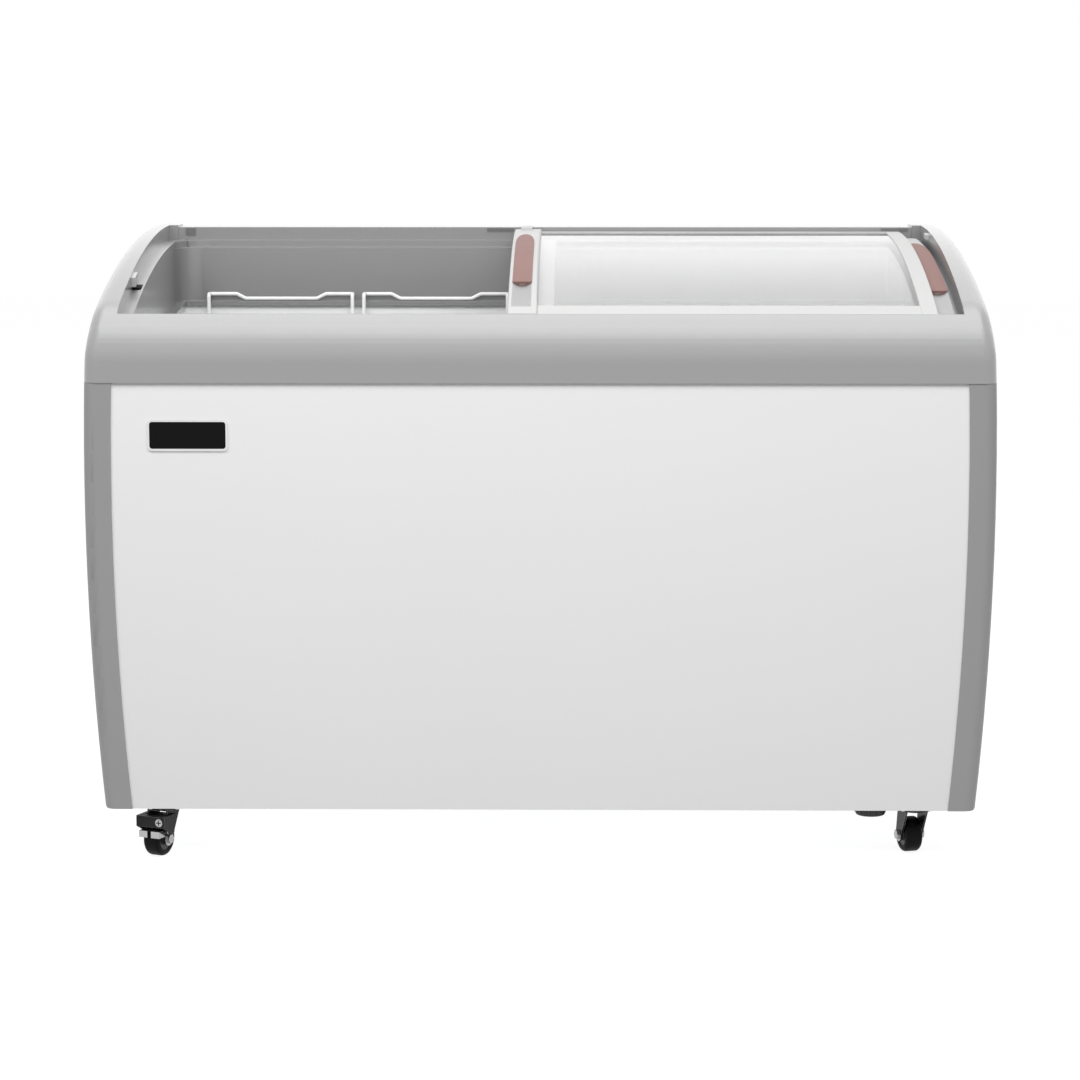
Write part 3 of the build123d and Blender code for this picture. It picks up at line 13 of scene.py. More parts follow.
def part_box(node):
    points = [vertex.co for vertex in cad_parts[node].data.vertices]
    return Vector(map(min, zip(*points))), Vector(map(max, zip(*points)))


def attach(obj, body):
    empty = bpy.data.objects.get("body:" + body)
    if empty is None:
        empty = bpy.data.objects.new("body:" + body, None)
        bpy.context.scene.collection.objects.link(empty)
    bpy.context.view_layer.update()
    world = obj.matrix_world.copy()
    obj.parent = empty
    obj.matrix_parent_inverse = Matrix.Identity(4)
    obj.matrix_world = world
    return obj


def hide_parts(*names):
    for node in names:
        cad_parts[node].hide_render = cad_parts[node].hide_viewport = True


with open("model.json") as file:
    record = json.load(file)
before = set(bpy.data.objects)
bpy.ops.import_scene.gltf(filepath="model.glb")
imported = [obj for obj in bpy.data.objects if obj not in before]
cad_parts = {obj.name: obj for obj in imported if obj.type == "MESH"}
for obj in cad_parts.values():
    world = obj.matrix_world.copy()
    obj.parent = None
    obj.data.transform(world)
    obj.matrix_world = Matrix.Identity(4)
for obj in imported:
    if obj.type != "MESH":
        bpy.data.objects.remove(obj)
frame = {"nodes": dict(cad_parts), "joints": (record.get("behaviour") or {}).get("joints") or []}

bl_info = {
    "name": "Chest Freezer Looks",
    "version": (1, 0, 0),
    "blender": (4, 5, 0),
    "location": "View3D > Sidebar > Freezer",
    "description": "Dresses the chest freezer: finishes, wire baskets, wheels, lamps and camera",
    "category": "Object",
}

MM = 0.001
CORNERS = ("front_left", "front_right", "rear_left", "rear_right")
BRAKED = ("front_left", "rear_right")
SHARP_ANGLE = math.radians(35.0)

# Colours of single pieces
# Dark grey of the rear-rail blocks: painted shade for the shadowed gap at the rail's end
REAR_BLOCK_SHADE_GREY = (0.16, 0.16, 0.163)
FOAM_YELLOW = (0.83, 0.70, 0.35)
BORDER_SILVER = (0.78, 0.78, 0.78)
SHEET_ZINC = (0.55, 0.56, 0.57)
SCREW_ZINC = (0.62, 0.62, 0.63)
KNOB_GREY = (0.035, 0.035, 0.037)
# Fork and lever edge colours: partly metal where the paint rubs through, partly a painted edge highlight
FORK_BLACK, FORK_EDGE_WEAR_AND_HIGHLIGHT = (0.012, 0.012, 0.0125), (0.6, 0.6, 0.6)
LEVER_BLACK, LEVER_EDGE_WEAR_AND_HIGHLIGHT = (0.02, 0.02, 0.021), (0.3, 0.3, 0.3)
NUT_SILVER = (0.42, 0.42, 0.42)
SOFT_BLACK = (0.02, 0.02, 0.02)
COMPRESSOR_BLACK = (0.015, 0.015, 0.015)
MOTOR_GREY = (0.12, 0.125, 0.13)
COPPER = (0.75, 0.38, 0.24)
WHITE = (1.0, 1.0, 1.0, 1.0)

# Finishes: lacquer over the grey plastic, glass, and a light metal colour along black edges that is partly
# paint rubbed through and partly a painted edge highlight
LACQUER_ROUGHNESS, LACQUER_IOR = 0.22, 1.6
GLASS_IOR = 1.52
EDGE_WEAR_AND_HIGHLIGHT_START, EDGE_WEAR_AND_HIGHLIGHT_GAIN = 0.985, 14.0

# Relief of painted sheet, in mm
PEEL_DEPTH, SHEET_WAVE = 0.012, 0.5

# Places that part a node's faces, measured from the cabinet's middle or from a wheel's centre
RAIL_FRONT = 270.0 * MM
AXLE_END = 16.6 * MM
AXLE_REACH = 9.0 * MM
LUG_START = 20.5 * MM
LUG_LOW, LUG_HIGH = 4.7 * MM, 14.8 * MM

# Baskets
BASKET_FRONT, BASKET_REAR = -232.0 * MM, 236.0 * MM
BASKET_CORNER = 6.0 * MM
HANGER_CORNER = 5.0 * MM
HANGER_LIFT = 0.3 * MM
MESH_BEND = 5

# Hood screw: its dome as (radius, height), and the cross in it
SCREW_SIDES = 40
SCREW_DOME = ((4.6 * MM, -0.5 * MM), (5.5 * MM, -0.25 * MM), (5.9 * MM, 0.2 * MM), (6.0 * MM, 1.6 * MM))
CROSS_LONG, CROSS_WIDE, CROSS_DEPTH = 8.0 * MM, 1.7 * MM, 0.2 * MM
HOOD_FACE_DEPTH = 0.05 * MM

# Wheel, in mm: the tyre, and the recess of its hub as (distance from the middle, radius)
WHEEL_HALF, WHEEL_RADIUS, TYRE_SHOULDER = 12.5, 25.0, 6.0
SHOULDER_STEPS = 6
HUB_RECESS, HUB_BOSS = 1.6, 0.2
HUB_SIDE = ((-WHEEL_HALF, 17.0), (-WHEEL_HALF + HUB_RECESS, 16.4), (-WHEEL_HALF + HUB_RECESS, 9.0),
            (-WHEEL_HALF + HUB_BOSS, 8.6), (-WHEEL_HALF + HUB_BOSS, 4.2))
WHEEL_SIDES = 64

# Stage: each lamp's place, aim and size, in metres, and the camera
KEY_LAMP = ((-0.2, -1.9, 2.5), (0.0, -0.3, 0.7), (4.4, 1.5))
TOP_LAMP = ((0.0, 0.3, 3.0), (0.0, 0.0, 0.6), (3.0, 2.0))
BACK_LAMP = ((0.0, 3.0, 2.2), (0.0, 0.0, 0.8), (5.0, 2.4))
CAMERA_PLACE = (0.05339, -4.4584, 1.02425)
SENSOR_WIDTH = 36.0
FLOOR_HALF = 14.0
FLOOR_SEEN = (0.3, 0.3, 0.3, 1.0)
FLOOR_PLAIN = (0.34, 0.34, 0.34, 1.0)
FLOOR_GLOW = 0.88


# Shader building

class Field:
    """A shader socket that takes part in Python expressions."""

    def __init__(self, finish, socket):
        self.finish = finish
        self.socket = socket

    def _math(self, operation, *values):
        return self.finish.node("ShaderNodeMath", {"operation": operation}, dict(enumerate(values)))

    def __add__(self, other):
        return self._math("ADD", self, other)

    __radd__ = __add__

    def __sub__(self, other):
        return self._math("SUBTRACT", self, other)

    def __rsub__(self, other):
        return self._math("SUBTRACT", other, self)

    def __mul__(self, other):
        return self._math("MULTIPLY", self, other)

    __rmul__ = __mul__

    def clamped(self):
        """The value held between 0 and 1."""
        return self.finish.node("ShaderNodeClamp", {}, {"Value": self})


class Finish:
    """The nodes of a material or a world under construction."""

    def __init__(self, owner):
        owner.use_nodes = True
        self.owner = owner
        self.tree = owner.node_tree
        self.tree.nodes.clear()

    def node(self, kind, settings=None, inputs=None, output=0):
        """Add a node, set it up, connect its sockets, and return one of its outputs."""
        made = self.tree.nodes.new(kind)
        for key, value in (settings or {}).items():
            setattr(made, key, value)
        for key, value in (inputs or {}).items():
            socket = made.inputs[key]
            if isinstance(value, Field):
                self.tree.links.new(value.socket, socket)
            else:
                socket.default_value = value
        return Field(self, made.outputs[output]) if made.outputs else None

    def place(self):
        """Position on the piece, in metres, in the shared frame."""
        return self.node("ShaderNodeNewGeometry", output="Position")

    def noise(self, scale, detail=2.0, stretch=None):
        """Soft random pattern; scale is in cycles per metre."""
        where = self.place()
        if stretch is not None:
            where = self.node("ShaderNodeVectorMath", {"operation": "MULTIPLY"}, {0: where, 1: stretch})
        return self.node("ShaderNodeTexNoise", {}, {"Vector": where, "Scale": scale, "Detail": detail})

    def varied(self, low, reach, scale, detail=2.0):
        """A value that wanders softly between low and low + reach."""
        return low + reach * self.noise(scale, detail)

    def mix(self, factor, first, second):
        """Colour between two colours."""
        return self.node("ShaderNodeMix", {"data_type": "RGBA"}, {0: factor, 6: first, 7: second}, 2)

    def bump(self, height, distance, edge=0.0):
        """Relief; with an edge radius, sharp edges catch the light as rounded ones do."""
        made = {"Height": height, "Distance": distance}
        if edge > 0:
            made["Normal"] = self.node("ShaderNodeBevel", {"samples": 4}, {"Radius": edge})
        return self.node("ShaderNodeBump", {}, made)

    def surface(self, inputs):
        """A Principled shader with these inputs."""
        return self.node("ShaderNodeBsdfPrincipled", {}, inputs)

    def done(self, shader):
        """Send the shader to the material's output, and return the material."""
        self.node("ShaderNodeOutputMaterial", {}, {"Surface": shader})
        return self.owner


def new_material(name):
    return Finish(bpy.data.materials.new(name))


def rgba(colour):
    return (*colour, 1.0)


def shade(colour, share):
    """The same colour, darker or lighter."""
    return tuple(min(1.0, c * share) for c in colour[:3]) + (1.0,)


def moulded_plastic(name, colour, roughness, grain=900.0, depth=0.02 * MM, drift=0.04, gloss=0.5, flake=0.0,
                    lacquer=0.0, edge=0.0):
    """Moulded plastic: even colour and fine grain, with metal flake and lacquer if it is silvery."""
    f = new_material(name)
    cloud = f.noise(7.0, detail=3.0)
    base = f.mix(cloud, shade(colour, 1.0 - drift), shade(colour, 1.0 + drift))
    fine = f.noise(grain)
    rough = f.varied(roughness - 0.04, 0.08, 60.0)
    return f.done(f.surface({"Base Color": base, "Roughness": rough, "Specular IOR Level": gloss,
                             "Metallic": flake, "Coat Weight": lacquer, "Coat Roughness": LACQUER_ROUGHNESS,
                             "Coat IOR": LACQUER_IOR, "Normal": f.bump(fine, depth, edge)}))


def sheet_enamel(name, colour, roughness):
    """Painted sheet: faint waviness of the sheet and the fine peel of the paint."""
    f = new_material(name)
    cloud = f.noise(2.5)
    base = f.mix(cloud, shade(colour, 0.985), shade(colour, 1.01))
    peel = f.noise(420.0) * PEEL_DEPTH * MM + f.noise(3.0, detail=1.0) * SHEET_WAVE * MM
    rough = f.varied(roughness - 0.02, 0.05, 25.0, detail=3.0)
    return f.done(f.surface({"Base Color": base, "Roughness": rough, "Normal": f.bump(peel, 1.0)}))


def bare_metal(name, colour, roughness, stretch=(1.0, 1.0, 1.0), streak=0.12):
    """Rolled or plated metal, with streaks along one direction."""
    f = new_material(name)
    lines = f.noise(320.0, detail=3.0, stretch=stretch)
    cloud = f.noise(30.0, detail=3.0)
    base = f.mix(cloud, shade(colour, 0.88), shade(colour, 1.05))
    rough = roughness - streak / 2 + streak * lines
    return f.done(f.surface({"Base Color": base, "Metallic": 1.0, "Roughness": rough,
                             "Normal": f.bump(lines, 0.01 * MM)}))


def lid_pane(name, colour):
    """Clear curved glass."""
    f = new_material(name)
    rough = f.varied(0.01, 0.02, 12.0)
    wave = f.bump(f.noise(6.0, detail=1.0), 0.15 * MM)
    return f.done(f.surface({"Base Color": rgba(colour), "Roughness": rough, "Transmission Weight": 1.0,
                             "IOR": GLASS_IOR, "Normal": wave}))


def cast_foam(name, colour):
    """Closed-cell foam with its cells."""
    f = new_material(name)
    cells = f.node("ShaderNodeTexVoronoi", {}, {"Vector": f.place(), "Scale": 220.0})
    base = f.mix(cells, shade(colour, 1.0), shade(colour, 0.8))
    return f.done(f.surface({"Base Color": base, "Roughness": 0.9, "Normal": f.bump(cells, 0.8 * MM)}))


def black_with_worn_and_highlit_edges(name, colour, edge, roughness, reach=0.8 * MM):
    """Black paint with a light metal colour along the edges: partly paint rubbed through to metal, partly a
    painted edge highlight.
    """
    f = new_material(name)
    soft = f.node("ShaderNodeBevel", {"samples": 6}, {"Radius": reach})
    flat = f.node("ShaderNodeNewGeometry", output="Normal")
    facing = f.node("ShaderNodeVectorMath", {"operation": "DOT_PRODUCT"}, {0: soft, 1: flat}, "Value")
    # Light metal colour along the edges: partly rubbed-through paint, partly a painted highlight
    edge_wear_and_highlight = ((EDGE_WEAR_AND_HIGHLIGHT_START - facing) * EDGE_WEAR_AND_HIGHLIGHT_GAIN).clamped() * f.noise(300.0, detail=3.0)
    base = f.mix(edge_wear_and_highlight, rgba(colour), rgba(edge))
    rough = f.varied(roughness, 0.1, 90.0, detail=3.0)
    return f.done(f.surface({"Base Color": base, "Metallic": edge_wear_and_highlight, "Roughness": rough,
                             "Specular IOR Level": 0.15, "Normal": f.bump(f.noise(700.0), 0.02 * MM)}))


# Sizes and colours that a user would change

def colour_property(name, description, default):
    return FloatVectorProperty(name=name, description=description, subtype="COLOR", size=3, min=0.0, max=1.0,
                               default=default)


def length_property(name, description, default):
    return FloatProperty(name=name, description=description, default=default, min=0.0, unit="LENGTH")


class FreezerColours(PropertyGroup):
    """Colours of the freezer's finishes."""
    frame: colour_property("Frame", "Grey of the top frame and collar", (0.32, 0.32, 0.323))
    trim: colour_property("Corner trims", "Grey of the corner trims", (0.315, 0.315, 0.318))
    panel: colour_property("Panels", "White of the sheet panels", (0.88, 0.88, 0.88))
    liner: colour_property("Liner", "White of the tub", (0.87, 0.875, 0.875))
    strip: colour_property("Lid strips", "White of the lids' edge strips and handles", (0.57, 0.57, 0.567))
    inlay: colour_property("Grip inlay", "Red-brown of the grips", (0.27, 0.155, 0.14))
    scoop: colour_property("Finger scoop", "Silver of the finger scoops", (0.45, 0.45, 0.45))
    glass: colour_property("Glass", "Tint of the lids' glass", (0.985, 0.99, 0.988))
    wire: colour_property("Basket wire", "White of the basket's coating", (0.93, 0.93, 0.93))
    black: colour_property("Black", "Black of the plate, wheels and plastic", (0.003, 0.003, 0.0032))


class FreezerSizes(PropertyGroup):
    """Sizes of the pieces that are built here."""
    basket_wire: length_property("Basket wire", "Radius of the rim and hanger wire", 3.0 * MM)
    mesh_wire: length_property("Mesh wire", "Radius of the wires of the basket's walls", 1.2 * MM)
    rim_height: length_property("Rim height", "Height of the basket's rim over the floor", 688.0 * MM)
    hanger_dip: length_property("Hanger dip", "Half length of the hanger's middle part", 56.0 * MM)
    hanger_ramp: length_property("Hanger ramp", "Run of the hanger's slanted part", 14.0 * MM)
    hanger_rise: length_property("Hanger rise", "Height of the hanger's ends over its ledge", 10.5 * MM)
    front_ledge: length_property("Front ledge", "Height of the front basket ledge", 704.0 * MM)
    rear_ledge: length_property("Rear ledge", "Height of the rear basket ledge", 756.0 * MM)
    columns: IntProperty(name="Columns", description="Gaps between the wires across a basket", default=6,
                         min=2)
    rows: IntProperty(name="Rows", description="Gaps between the wires up a basket", default=5, min=2)
    depth_columns: IntProperty(name="Depth columns", description="Gaps between the wires along a basket",
                               default=12, min=2)


class FreezerStage(PropertyGroup):
    """Lamps, floor and camera."""
    sky: FloatProperty(name="Sky", description="Strength of the even light from all round", default=0.38,
                       min=0.0)
    key: FloatProperty(name="Key lamp", description="Power of the large lamp over the front", default=80.0,
                       min=0.0, unit="POWER")
    top: FloatProperty(name="Top lamp", description="Power of the lamp overhead", default=20.0, min=0.0,
                       unit="POWER")
    back: FloatProperty(name="Back lamp", description="Power of the wide lamp behind", default=11.0, min=0.0,
                        unit="POWER")
    lens: FloatProperty(name="Lens", description="Focal length on a 36 mm wide sensor, in mm", default=99.85,
                        min=1.0)
    pitch: FloatProperty(name="Pitch", description="How far the camera looks down",
                         default=math.radians(7.83), subtype="ANGLE", unit="ROTATION")
    turn: FloatProperty(name="Turn", description="How far the camera turns to its left",
                        default=math.radians(0.73), subtype="ANGLE", unit="ROTATION")


GROUPS = {"freezer_colours": FreezerColours, "freezer_sizes": FreezerSizes, "freezer_stage": FreezerStage}


# Mesh and curve helpers

def dress(names, material):
    """Give CAD nodes a finish."""
    for name in names:
        mesh = frame["nodes"][name].data
        mesh.materials.clear()
        mesh.materials.append(material)


def link(name, data, body):
    """Put a new piece in the scene, riding on a body."""
    piece = bpy.data.objects.new(name, data)
    bpy.context.scene.collection.objects.link(piece)
    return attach(piece, body)


def mesh_piece(name, bm, body, materials):
    """Turn a bmesh into a piece that rides on a body."""
    bmesh.ops.recalc_face_normals(bm, faces=bm.faces)
    mesh = bpy.data.meshes.new(name)
    bm.to_mesh(mesh)
    bm.free()
    for material in materials:
        mesh.materials.append(material)
    mesh.polygons.foreach_set("use_smooth", [True] * len(mesh.polygons))
    mesh.set_sharp_from_angle(angle=SHARP_ANGLE)
    return link(name, mesh, body)


def rounded_path(points, radius, steps=5, closed=False):
    """Points of a line whose corners are rounded."""
    points = [Vector(p) for p in points]
    count = len(points)
    path = []
    for i, corner in enumerate(points):
        if not closed and i in (0, count - 1):
            path.append(corner)
            continue
        before = (points[i - 1] - corner).normalized()
        after = (points[(i + 1) % count] - corner).normalized()
        half = before.angle(after) / 2
        reach = radius / math.tan(half)
        centre = corner + (before + after).normalized() * radius / math.sin(half)
        start, end = corner + before * reach - centre, corner + after * reach - centre
        for step in range(steps + 1):
            path.append(centre + start.lerp(end, step / steps).normalized() * radius)
    return path


def wire_curve(name, lines, radius, body, material):
    """Round wires along lines; each line is (points, closed)."""
    curve = bpy.data.curves.new(name, "CURVE")
    curve.dimensions = "3D"
    curve.bevel_depth = radius
    curve.bevel_resolution = 3
    curve.use_fill_caps = True
    for points, closed in lines:
        spline = curve.splines.new("POLY")
        spline.points.add(len(points) - 1)
        for target, point in zip(spline.points, points):
            target.co = (*point, 1.0)
        spline.use_cyclic_u = closed
    curve.materials.append(material)
    return link(name, curve, body)


def lathe(bm, profile, segments, material_of):
    """Turn a closed (across, radius) outline about the X axis; material_of numbers each band's material."""
    rings = []
    for i in range(segments):
        angle = 2 * math.pi * i / segments
        rings.append([bm.verts.new((w, r * math.cos(angle), r * math.sin(angle))) for w, r in profile])
    for i, ring in enumerate(rings):
        following = rings[(i + 1) % segments]
        for j in range(len(profile)):
            k = (j + 1) % len(profile)
            face = bm.faces.new((ring[j], ring[k], following[k], following[j]))
            face.material_index = material_of(j)


def joint_frame(name):
    """Matrix that puts a piece built about the X axis on a joint's axis."""
    joint = next(j for j in frame["joints"] if j["name"] == name)
    axis = Vector(joint["axis"]).normalized()
    up = Vector((0, 0, 1))
    side = up.cross(axis).normalized()
    turn = Matrix((axis, side, axis.cross(side))).transposed().to_4x4()
    return Matrix.Translation(Vector(joint["pos_m"])) @ turn


# Pieces

class FREEZER_OT_cabinet(Operator):
    """Finish the frame, collar, liner, panels, trims and plate."""
    bl_idname = "freezer.cabinet"
    bl_label = "Cabinet"

    def execute(self, context):
        colours = context.scene.freezer_colours
        grey = moulded_plastic("frame_grey", colours.frame, 0.4, drift=0.015, flake=0.6, lacquer=1.0,
                               edge=1.6 * MM)
        dress(["top_frame", "rear_rail", "inner_collar"], grey)
        dress([corner + "_trim" for corner in CORNERS],
              moulded_plastic("trim_grey", colours.trim, 0.42, drift=0.015, flake=0.25))
        dress(["front_panel", "rear_panel", "left_side_panel", "right_side_panel"],
              sheet_enamel("panel_enamel", colours.panel, 0.3))
        dress(["inner_liner"], moulded_plastic("liner_white", colours.liner, 0.35, depth=0.008 * MM))
        dress(["lid_stops"], moulded_plastic("stop_white", colours.strip, 0.4))
        # The rear-rail blocks get a dark grey that paints the shade at the rail's end
        self.shade_rear_blocks(moulded_plastic("rear_block_shade_grey", REAR_BLOCK_SHADE_GREY, 0.5))
        dress(["foam_insulation"], cast_foam("foam_cells", FOAM_YELLOW))
        dress(["name_plate"], moulded_plastic("plate_black", colours.black, 0.3, depth=0.004 * MM, gloss=0.1))
        dress(["name_plate_border"], bare_metal("border_silver", BORDER_SILVER, 0.3, (1.0, 1.0, 12.0)))
        dress(["base_pan", "caster_plates"], bare_metal("zinc_sheet", SHEET_ZINC, 0.42))
        dress(["vent_grille", "thermostat_housing"], moulded_plastic("grille_grey", colours.trim, 0.5))
        dress(["thermostat_knob"], moulded_plastic("knob_grey", KNOB_GREY, 0.4))
        dress(["drain_tube", "drain_cap", "cord_gland"],
              moulded_plastic("fitting_black", colours.black, 0.38))
        dress(["screws"], bare_metal("screw_zinc", SCREW_ZINC, 0.3))
        return {"FINISHED"}

    @staticmethod
    def shade_rear_blocks(grey):
        """The blocks on the rear rail take a dark grey that paints the shade of the gap at the rail's end,
        while those on the arms are white.
        """
        stops = frame["nodes"]["lid_stops"]
        stops.data.materials.append(grey)
        for face in stops.data.polygons:
            if (stops.matrix_world @ face.center).y > RAIL_FRONT:
                face.material_index = 1


class FREEZER_OT_lids(Operator):
    """Finish both sliding lids."""
    bl_idname = "freezer.lids"
    bl_label = "Lids"

    def execute(self, context):
        colours = context.scene.freezer_colours
        glass = lid_pane("lid_glass", colours.glass)
        strip = moulded_plastic("strip_white", colours.strip, 0.5, drift=0.01, gloss=0.25)
        inlay = moulded_plastic("grip_inlay", colours.inlay, 0.55, grain=1400.0, depth=0.05 * MM, drift=0.12,
                                gloss=0.25)
        scoop = bare_metal("scoop_silver", colours.scoop, 0.34, (1.0, 12.0, 12.0))
        pad = moulded_plastic("glide_white", colours.strip, 0.5)
        for lid in ("upper_lid_", "lower_lid_"):
            dress([lid + "glass"], glass)
            dress([lid + piece for piece in ("front_strip", "rear_strip", "side_strip", "handle")], strip)
            dress([lid + "grip"], inlay)
            dress([lid + "scoop"], scoop)
            dress([lid + "glides"], pad)
        return {"FINISHED"}


class FREEZER_OT_baskets(Operator):
    """Build the two welded wire baskets."""
    bl_idname = "freezer.baskets"
    bl_label = "Baskets"

    def execute(self, context):
        sizes = context.scene.freezer_sizes
        coating = moulded_plastic("wire_coating", context.scene.freezer_colours.wire, 0.28, grain=500.0)
        for body in ("left_basket", "right_basket"):
            self.build(body, sizes, coating)
        return {"FINISHED"}

    def build(self, body, sizes, coating):
        """One basket: rim, foot ring and hangers of thick wire, and a mesh of thin wire."""
        low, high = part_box(body)
        r, thin = sizes.basket_wire, sizes.mesh_wire
        rim = sizes.rim_height
        y0, y1 = BASKET_FRONT, BASKET_REAR
        x0, x1 = low.x + r, high.x - r
        ring = [(x0, y0 + r), (x1, y0 + r), (x1, y1 - r), (x0, y1 - r)]
        thick = [self.level_ring(ring, rim), self.level_ring(ring, low.z + r)]
        for post, seat, ledge in ((y0 + r, low.y + r, sizes.front_ledge),
                                  (y1 - r, high.y - r, sizes.rear_ledge)):
            thick.append((self.hanger(x0, x1, post, seat, ledge, sizes), False))
        floor = low.z + thin
        near, far = y0 + (r + thin), y1 - (r + thin)
        fine = []
        for i in range(1, sizes.columns):
            x = x0 + (x1 - x0) * i / sizes.columns
            line = [(x, near, rim), (x, near, floor), (x, far, floor), (x, far, rim)]
            fine.append((rounded_path(line, MESH_BEND * r), False))
        for i in range(1, sizes.depth_columns):
            y = y0 + (y1 - y0) * i / sizes.depth_columns
            line = [(x0 + thin, y, rim), (x0 + thin, y, floor), (x1 - thin, y, floor), (x1 - thin, y, rim)]
            fine.append((rounded_path(line, MESH_BEND * r), False))
        for i in range(1, sizes.rows):
            fine.append(self.level_ring(ring, floor + (rim - floor) * i / sizes.rows))
        frame_wires = wire_curve(body + "_frame_wires", thick, r, body, coating)
        mesh_wires = wire_curve(body + "_mesh_wires", fine, thin, body, coating)
        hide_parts(body)

    @staticmethod
    def level_ring(ring, height):
        """A closed wire round the basket at one height."""
        return rounded_path([(x, y, height) for x, y in ring], BASKET_CORNER, closed=True), True

    @staticmethod
    def hanger(x0, x1, post, seat, ledge, sizes):
        """The bent wire over one ledge, with its two posts."""
        rise = ledge + sizes.hanger_rise
        dip = ledge + sizes.basket_wire + HANGER_LIFT
        middle = (x0 + x1) / 2
        ends = (middle - sizes.hanger_dip, middle + sizes.hanger_dip)
        points = [(x0, post, sizes.rim_height), (x0, post, rise), (x0, seat, rise)]
        points += [(ends[0] - sizes.hanger_ramp, seat, rise), (ends[0], seat, dip), (ends[1], seat, dip)]
        points += [(ends[1] + sizes.hanger_ramp, seat, rise), (x1, seat, rise), (x1, post, rise)]
        points.append((x1, post, sizes.rim_height))
        return rounded_path(points, HANGER_CORNER)


class FREEZER_OT_casters(Operator):
    """Finish the casters and build their wheels."""
    bl_idname = "freezer.casters"
    bl_label = "Casters"

    def execute(self, context):
        black = context.scene.freezer_colours.black
        fork = black_with_worn_and_highlit_edges("fork_black", FORK_BLACK, FORK_EDGE_WEAR_AND_HIGHLIGHT, 0.22)
        nut = bare_metal("nut_silver", NUT_SILVER, 0.28)
        dress([corner + "_fork" for corner in CORNERS], fork)
        for corner in CORNERS:
            self.plated_ends(corner, nut)
        dress([corner + "_brake_lever" for corner in BRAKED],
              black_with_worn_and_highlit_edges("lever_black", LEVER_BLACK, LEVER_EDGE_WEAR_AND_HIGHLIGHT, 0.3))
        tyre = moulded_plastic("tyre_black", black, 0.5, depth=0.01 * MM, gloss=0.1)
        hub = moulded_plastic("hub_black", SOFT_BLACK, 0.4)
        for corner in CORNERS:
            self.wheel(corner, tyre, hub)
        for corner in BRAKED:
            # The hub's black paints the shade in the screw's cross recess
            self.screw(corner, nut, hub)
        return {"FINISHED"}

    @staticmethod
    def plated_ends(corner, nut):
        """Plate the axle's ends, and on a braked caster the lugs that hold the lever."""
        fork = frame["nodes"][corner + "_fork"]
        fork.data.materials.append(nut)
        back = joint_frame(corner + "_wheel_roll").inverted()
        for face in fork.data.polygons:
            spot = back @ fork.matrix_world @ face.center
            end = abs(spot.x) > AXLE_END and math.hypot(spot.y, spot.z) < AXLE_REACH
            lug = corner in BRAKED and abs(spot.y) > LUG_START and LUG_LOW < spot.z < LUG_HIGH
            if end or lug:
                face.material_index = 1

    @staticmethod
    def screw_shape():
        """Domed screw head about the Y axis, with its cross in the second material, a black that paints the
        shade of the recess.
        """
        bm = bmesh.new()
        rings = []
        for radius, height in SCREW_DOME:
            ring = []
            for i in range(SCREW_SIDES):
                angle = 2 * math.pi * i / SCREW_SIDES
                ring.append(bm.verts.new((radius * math.cos(angle), height, radius * math.sin(angle))))
            rings.append(ring)
        for inner, outer in zip(rings, rings[1:]):
            for i in range(SCREW_SIDES):
                k = (i + 1) % SCREW_SIDES
                bm.faces.new((inner[i], inner[k], outer[k], outer[i]))
        bm.faces.new(rings[0])
        for long, wide in ((CROSS_LONG, CROSS_WIDE), (CROSS_WIDE, CROSS_LONG)):
            slot = bmesh.ops.create_cube(bm, size=1.0)["verts"]
            bmesh.ops.scale(bm, vec=(long, CROSS_DEPTH, wide), verts=slot)
            bmesh.ops.translate(bm, vec=(0.0, SCREW_DOME[0][1], 0.0), verts=slot)
            # The cross's second material is black, painted shade for the recess
            for face in {f for v in slot for f in v.link_faces}:
                face.material_index = 1
        return bm

    def screw(self, corner, nut, painted_recess_shade):
        """Cross-head screw on the hood, the outermost face of the brake lever."""
        lever = frame["nodes"][corner + "_brake_lever"]
        turn = joint_frame(corner + "_wheel_roll")
        spots = [turn.inverted() @ lever.matrix_world @ v.co for v in lever.data.vertices]
        outermost = max(spots, key=lambda spot: abs(spot.y)).y
        hood = [spot for spot in spots if abs(spot.y - outermost) < HOOD_FACE_DEPTH]
        bm = self.screw_shape()
        if outermost > 0:
            bm.transform(Matrix.Rotation(math.pi, 4, "Z"))
        bm.transform(turn @ Matrix.Translation(sum(hood, Vector()) / len(hood)))
        piece = mesh_piece(corner + "_hood_screw", bm, corner + "_brake", [nut, painted_recess_shade])

    @staticmethod
    def wheel(corner, tyre, hub):
        """Tyre with rounded shoulders on a recessed hub."""
        flank, crown = WHEEL_HALF - TYRE_SHOULDER, WHEEL_RADIUS - TYRE_SHOULDER
        tread = []
        for step in range(SHOULDER_STEPS + 1):
            angle = math.pi / 2 * step / SHOULDER_STEPS
            tread.append((flank + TYRE_SHOULDER * math.cos(angle), crown + TYRE_SHOULDER * math.sin(angle)))
        tread += [(-w, r) for w, r in reversed(tread)]
        tyre_bands = len(tread) - 1
        outline = [*tread, *HUB_SIDE, *((-w, r) for w, r in reversed(HUB_SIDE))]
        profile = [(w * MM, r * MM) for w, r in outline]
        bm = bmesh.new()
        lathe(bm, profile, WHEEL_SIDES,
              lambda band: 0 if band <= tyre_bands or band == len(profile) - 1 else 1)
        bm.transform(joint_frame(corner + "_wheel_roll"))
        piece = mesh_piece(corner + "_wheel_turned", bm, corner + "_wheel", [tyre, hub])
        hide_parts(corner + "_wheel")


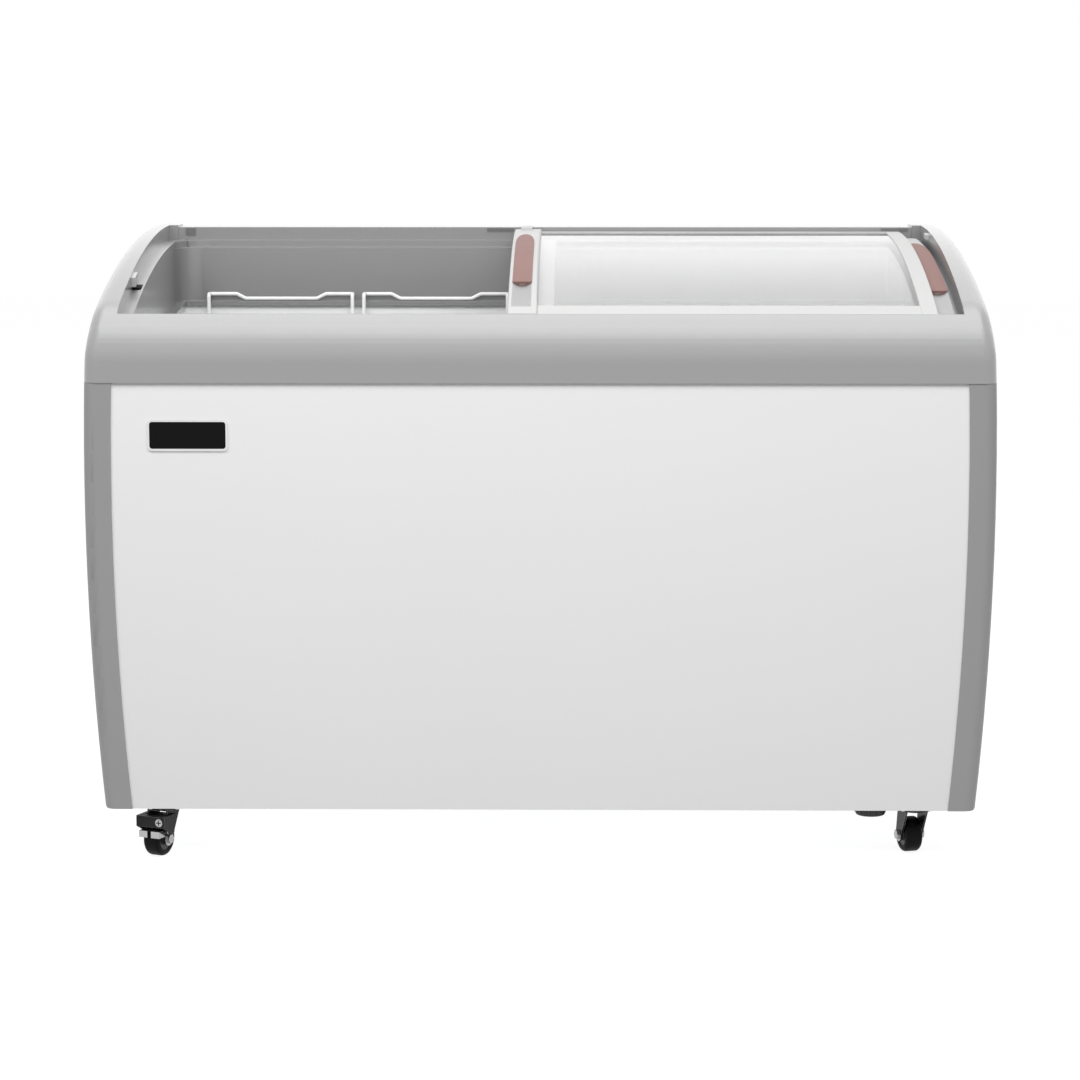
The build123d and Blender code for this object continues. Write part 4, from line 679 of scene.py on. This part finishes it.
class FREEZER_OT_machine(Operator):
    """Finish the refrigeration parts inside."""
    bl_idname = "freezer.machine"
    bl_label = "Machine"

    def execute(self, context):
        dress(["compressor"], sheet_enamel("compressor_black", COMPRESSOR_BLACK, 0.35))
        dress(["condenser"], sheet_enamel("condenser_black", SOFT_BLACK, 0.45))
        dress(["fan_motor"], sheet_enamel("motor_grey", MOTOR_GREY, 0.4))
        dress(["fan_blade"], moulded_plastic("fan_black", SOFT_BLACK, 0.45))
        dress(["filter_drier", "refrigerant_lines", "evaporator_tube"],
              bare_metal("copper_tube", COPPER, 0.32))
        return {"FINISHED"}


class FREEZER_OT_stage(Operator):
    """Set up the floor, lamps, sky and camera."""
    bl_idname = "freezer.stage"
    bl_label = "Stage"

    def execute(self, context):
        stage = context.scene.freezer_stage
        self.floor()
        self.sky(context.scene, stage.sky)
        key = self.lamp("key_lamp", *KEY_LAMP, stage.key)
        key.visible_glossy = False
        self.lamp("top_lamp", *TOP_LAMP, stage.top)
        self.lamp("back_lamp", *BACK_LAMP, stage.back)
        self.camera(context.scene, stage)
        context.scene.view_settings.view_transform = "Standard"
        return {"FINISHED"}

    @staticmethod
    def background_rays(finish):
        """One for the rays that should see a white background."""
        rays = [finish.node("ShaderNodeLightPath", output=name)
                for name in ("Is Camera Ray", "Is Glossy Ray", "Is Transmission Ray")]
        return (rays[0] + rays[1] + rays[2]).clamped()

    def floor(self):
        """Plain pale floor that shows white and keeps the object's shadow."""
        f = new_material("floor_white")
        seen = f.node("ShaderNodeAddShader", {}, {
            0: f.node("ShaderNodeBsdfDiffuse", {}, {"Color": FLOOR_SEEN}),
            1: f.node("ShaderNodeEmission", {}, {"Color": WHITE, "Strength": FLOOR_GLOW})})
        plain = f.node("ShaderNodeBsdfDiffuse", {}, {"Color": FLOOR_PLAIN})
        material = f.done(f.node("ShaderNodeMixShader", {}, {0: self.background_rays(f), 1: plain, 2: seen}))
        bm = bmesh.new()
        bmesh.ops.create_grid(bm, x_segments=4, y_segments=4, size=FLOOR_HALF)
        mesh = bpy.data.meshes.new("floor")
        bm.to_mesh(mesh)
        bm.free()
        mesh.materials.append(material)
        floor = bpy.data.objects.new("floor", mesh)
        bpy.context.scene.collection.objects.link(floor)

    def sky(self, scene, strength):
        """Even light all round, which shows white to the camera and in reflections."""
        f = Finish(bpy.data.worlds.new("sky"))
        scene.world = f.owner
        level = strength + self.background_rays(f) * (1.0 - strength)
        light = f.node("ShaderNodeBackground", {}, {"Color": WHITE, "Strength": level})
        f.node("ShaderNodeOutputWorld", {}, {"Surface": light})

    @staticmethod
    def lamp(name, place, aim, size, power):
        """Rectangular lamp that the camera doesn't see."""
        data = bpy.data.lights.new(name, "AREA")
        data.shape = "RECTANGLE"
        data.size, data.size_y = size
        data.energy = power
        lamp = bpy.data.objects.new(name, data)
        lamp.location = place
        lamp.rotation_euler = (Vector(aim) - Vector(place)).to_track_quat("-Z", "Y").to_euler()
        lamp.visible_camera = False
        bpy.context.scene.collection.objects.link(lamp)
        return lamp

    @staticmethod
    def camera(scene, stage):
        """Camera at the photograph's viewing angle."""
        data = bpy.data.cameras.new("camera")
        data.lens = stage.lens
        data.sensor_width = SENSOR_WIDTH
        camera = bpy.data.objects.new("camera", data)
        camera.location = CAMERA_PLACE
        camera.rotation_euler = (math.pi / 2 - stage.pitch, 0.0, stage.turn)
        scene.collection.objects.link(camera)
        scene.camera = camera


STEPS = (FREEZER_OT_cabinet, FREEZER_OT_lids, FREEZER_OT_baskets, FREEZER_OT_casters, FREEZER_OT_machine,
         FREEZER_OT_stage)


class FREEZER_PT_sidebar(Panel):
    """Lists the steps and the settings."""
    bl_idname = "FREEZER_PT_sidebar"
    bl_label = "Chest Freezer"
    bl_space_type = "VIEW_3D"
    bl_region_type = "UI"
    bl_category = "Freezer"

    def draw(self, context):
        column = self.layout.column()
        for step in STEPS:
            column.operator(step.bl_idname)
        for group, kind in GROUPS.items():
            settings = getattr(context.scene, group)
            for name in kind.__annotations__:
                column.prop(settings, name)


def register():
    for kind in (*GROUPS.values(), *STEPS, FREEZER_PT_sidebar):
        bpy.utils.register_class(kind)
    for name, kind in GROUPS.items():
        setattr(bpy.types.Scene, name, PointerProperty(type=kind))


def unregister():
    for name in GROUPS:
        delattr(bpy.types.Scene, name)
    for kind in reversed((*GROUPS.values(), *STEPS, FREEZER_PT_sidebar)):
        bpy.utils.unregister_class(kind)


def main():
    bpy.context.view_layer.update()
    register()
    for step in STEPS:
        group, name = step.bl_idname.split(".")
        getattr(getattr(bpy.ops, group), name)()


if __name__ == "__main__":
    main()
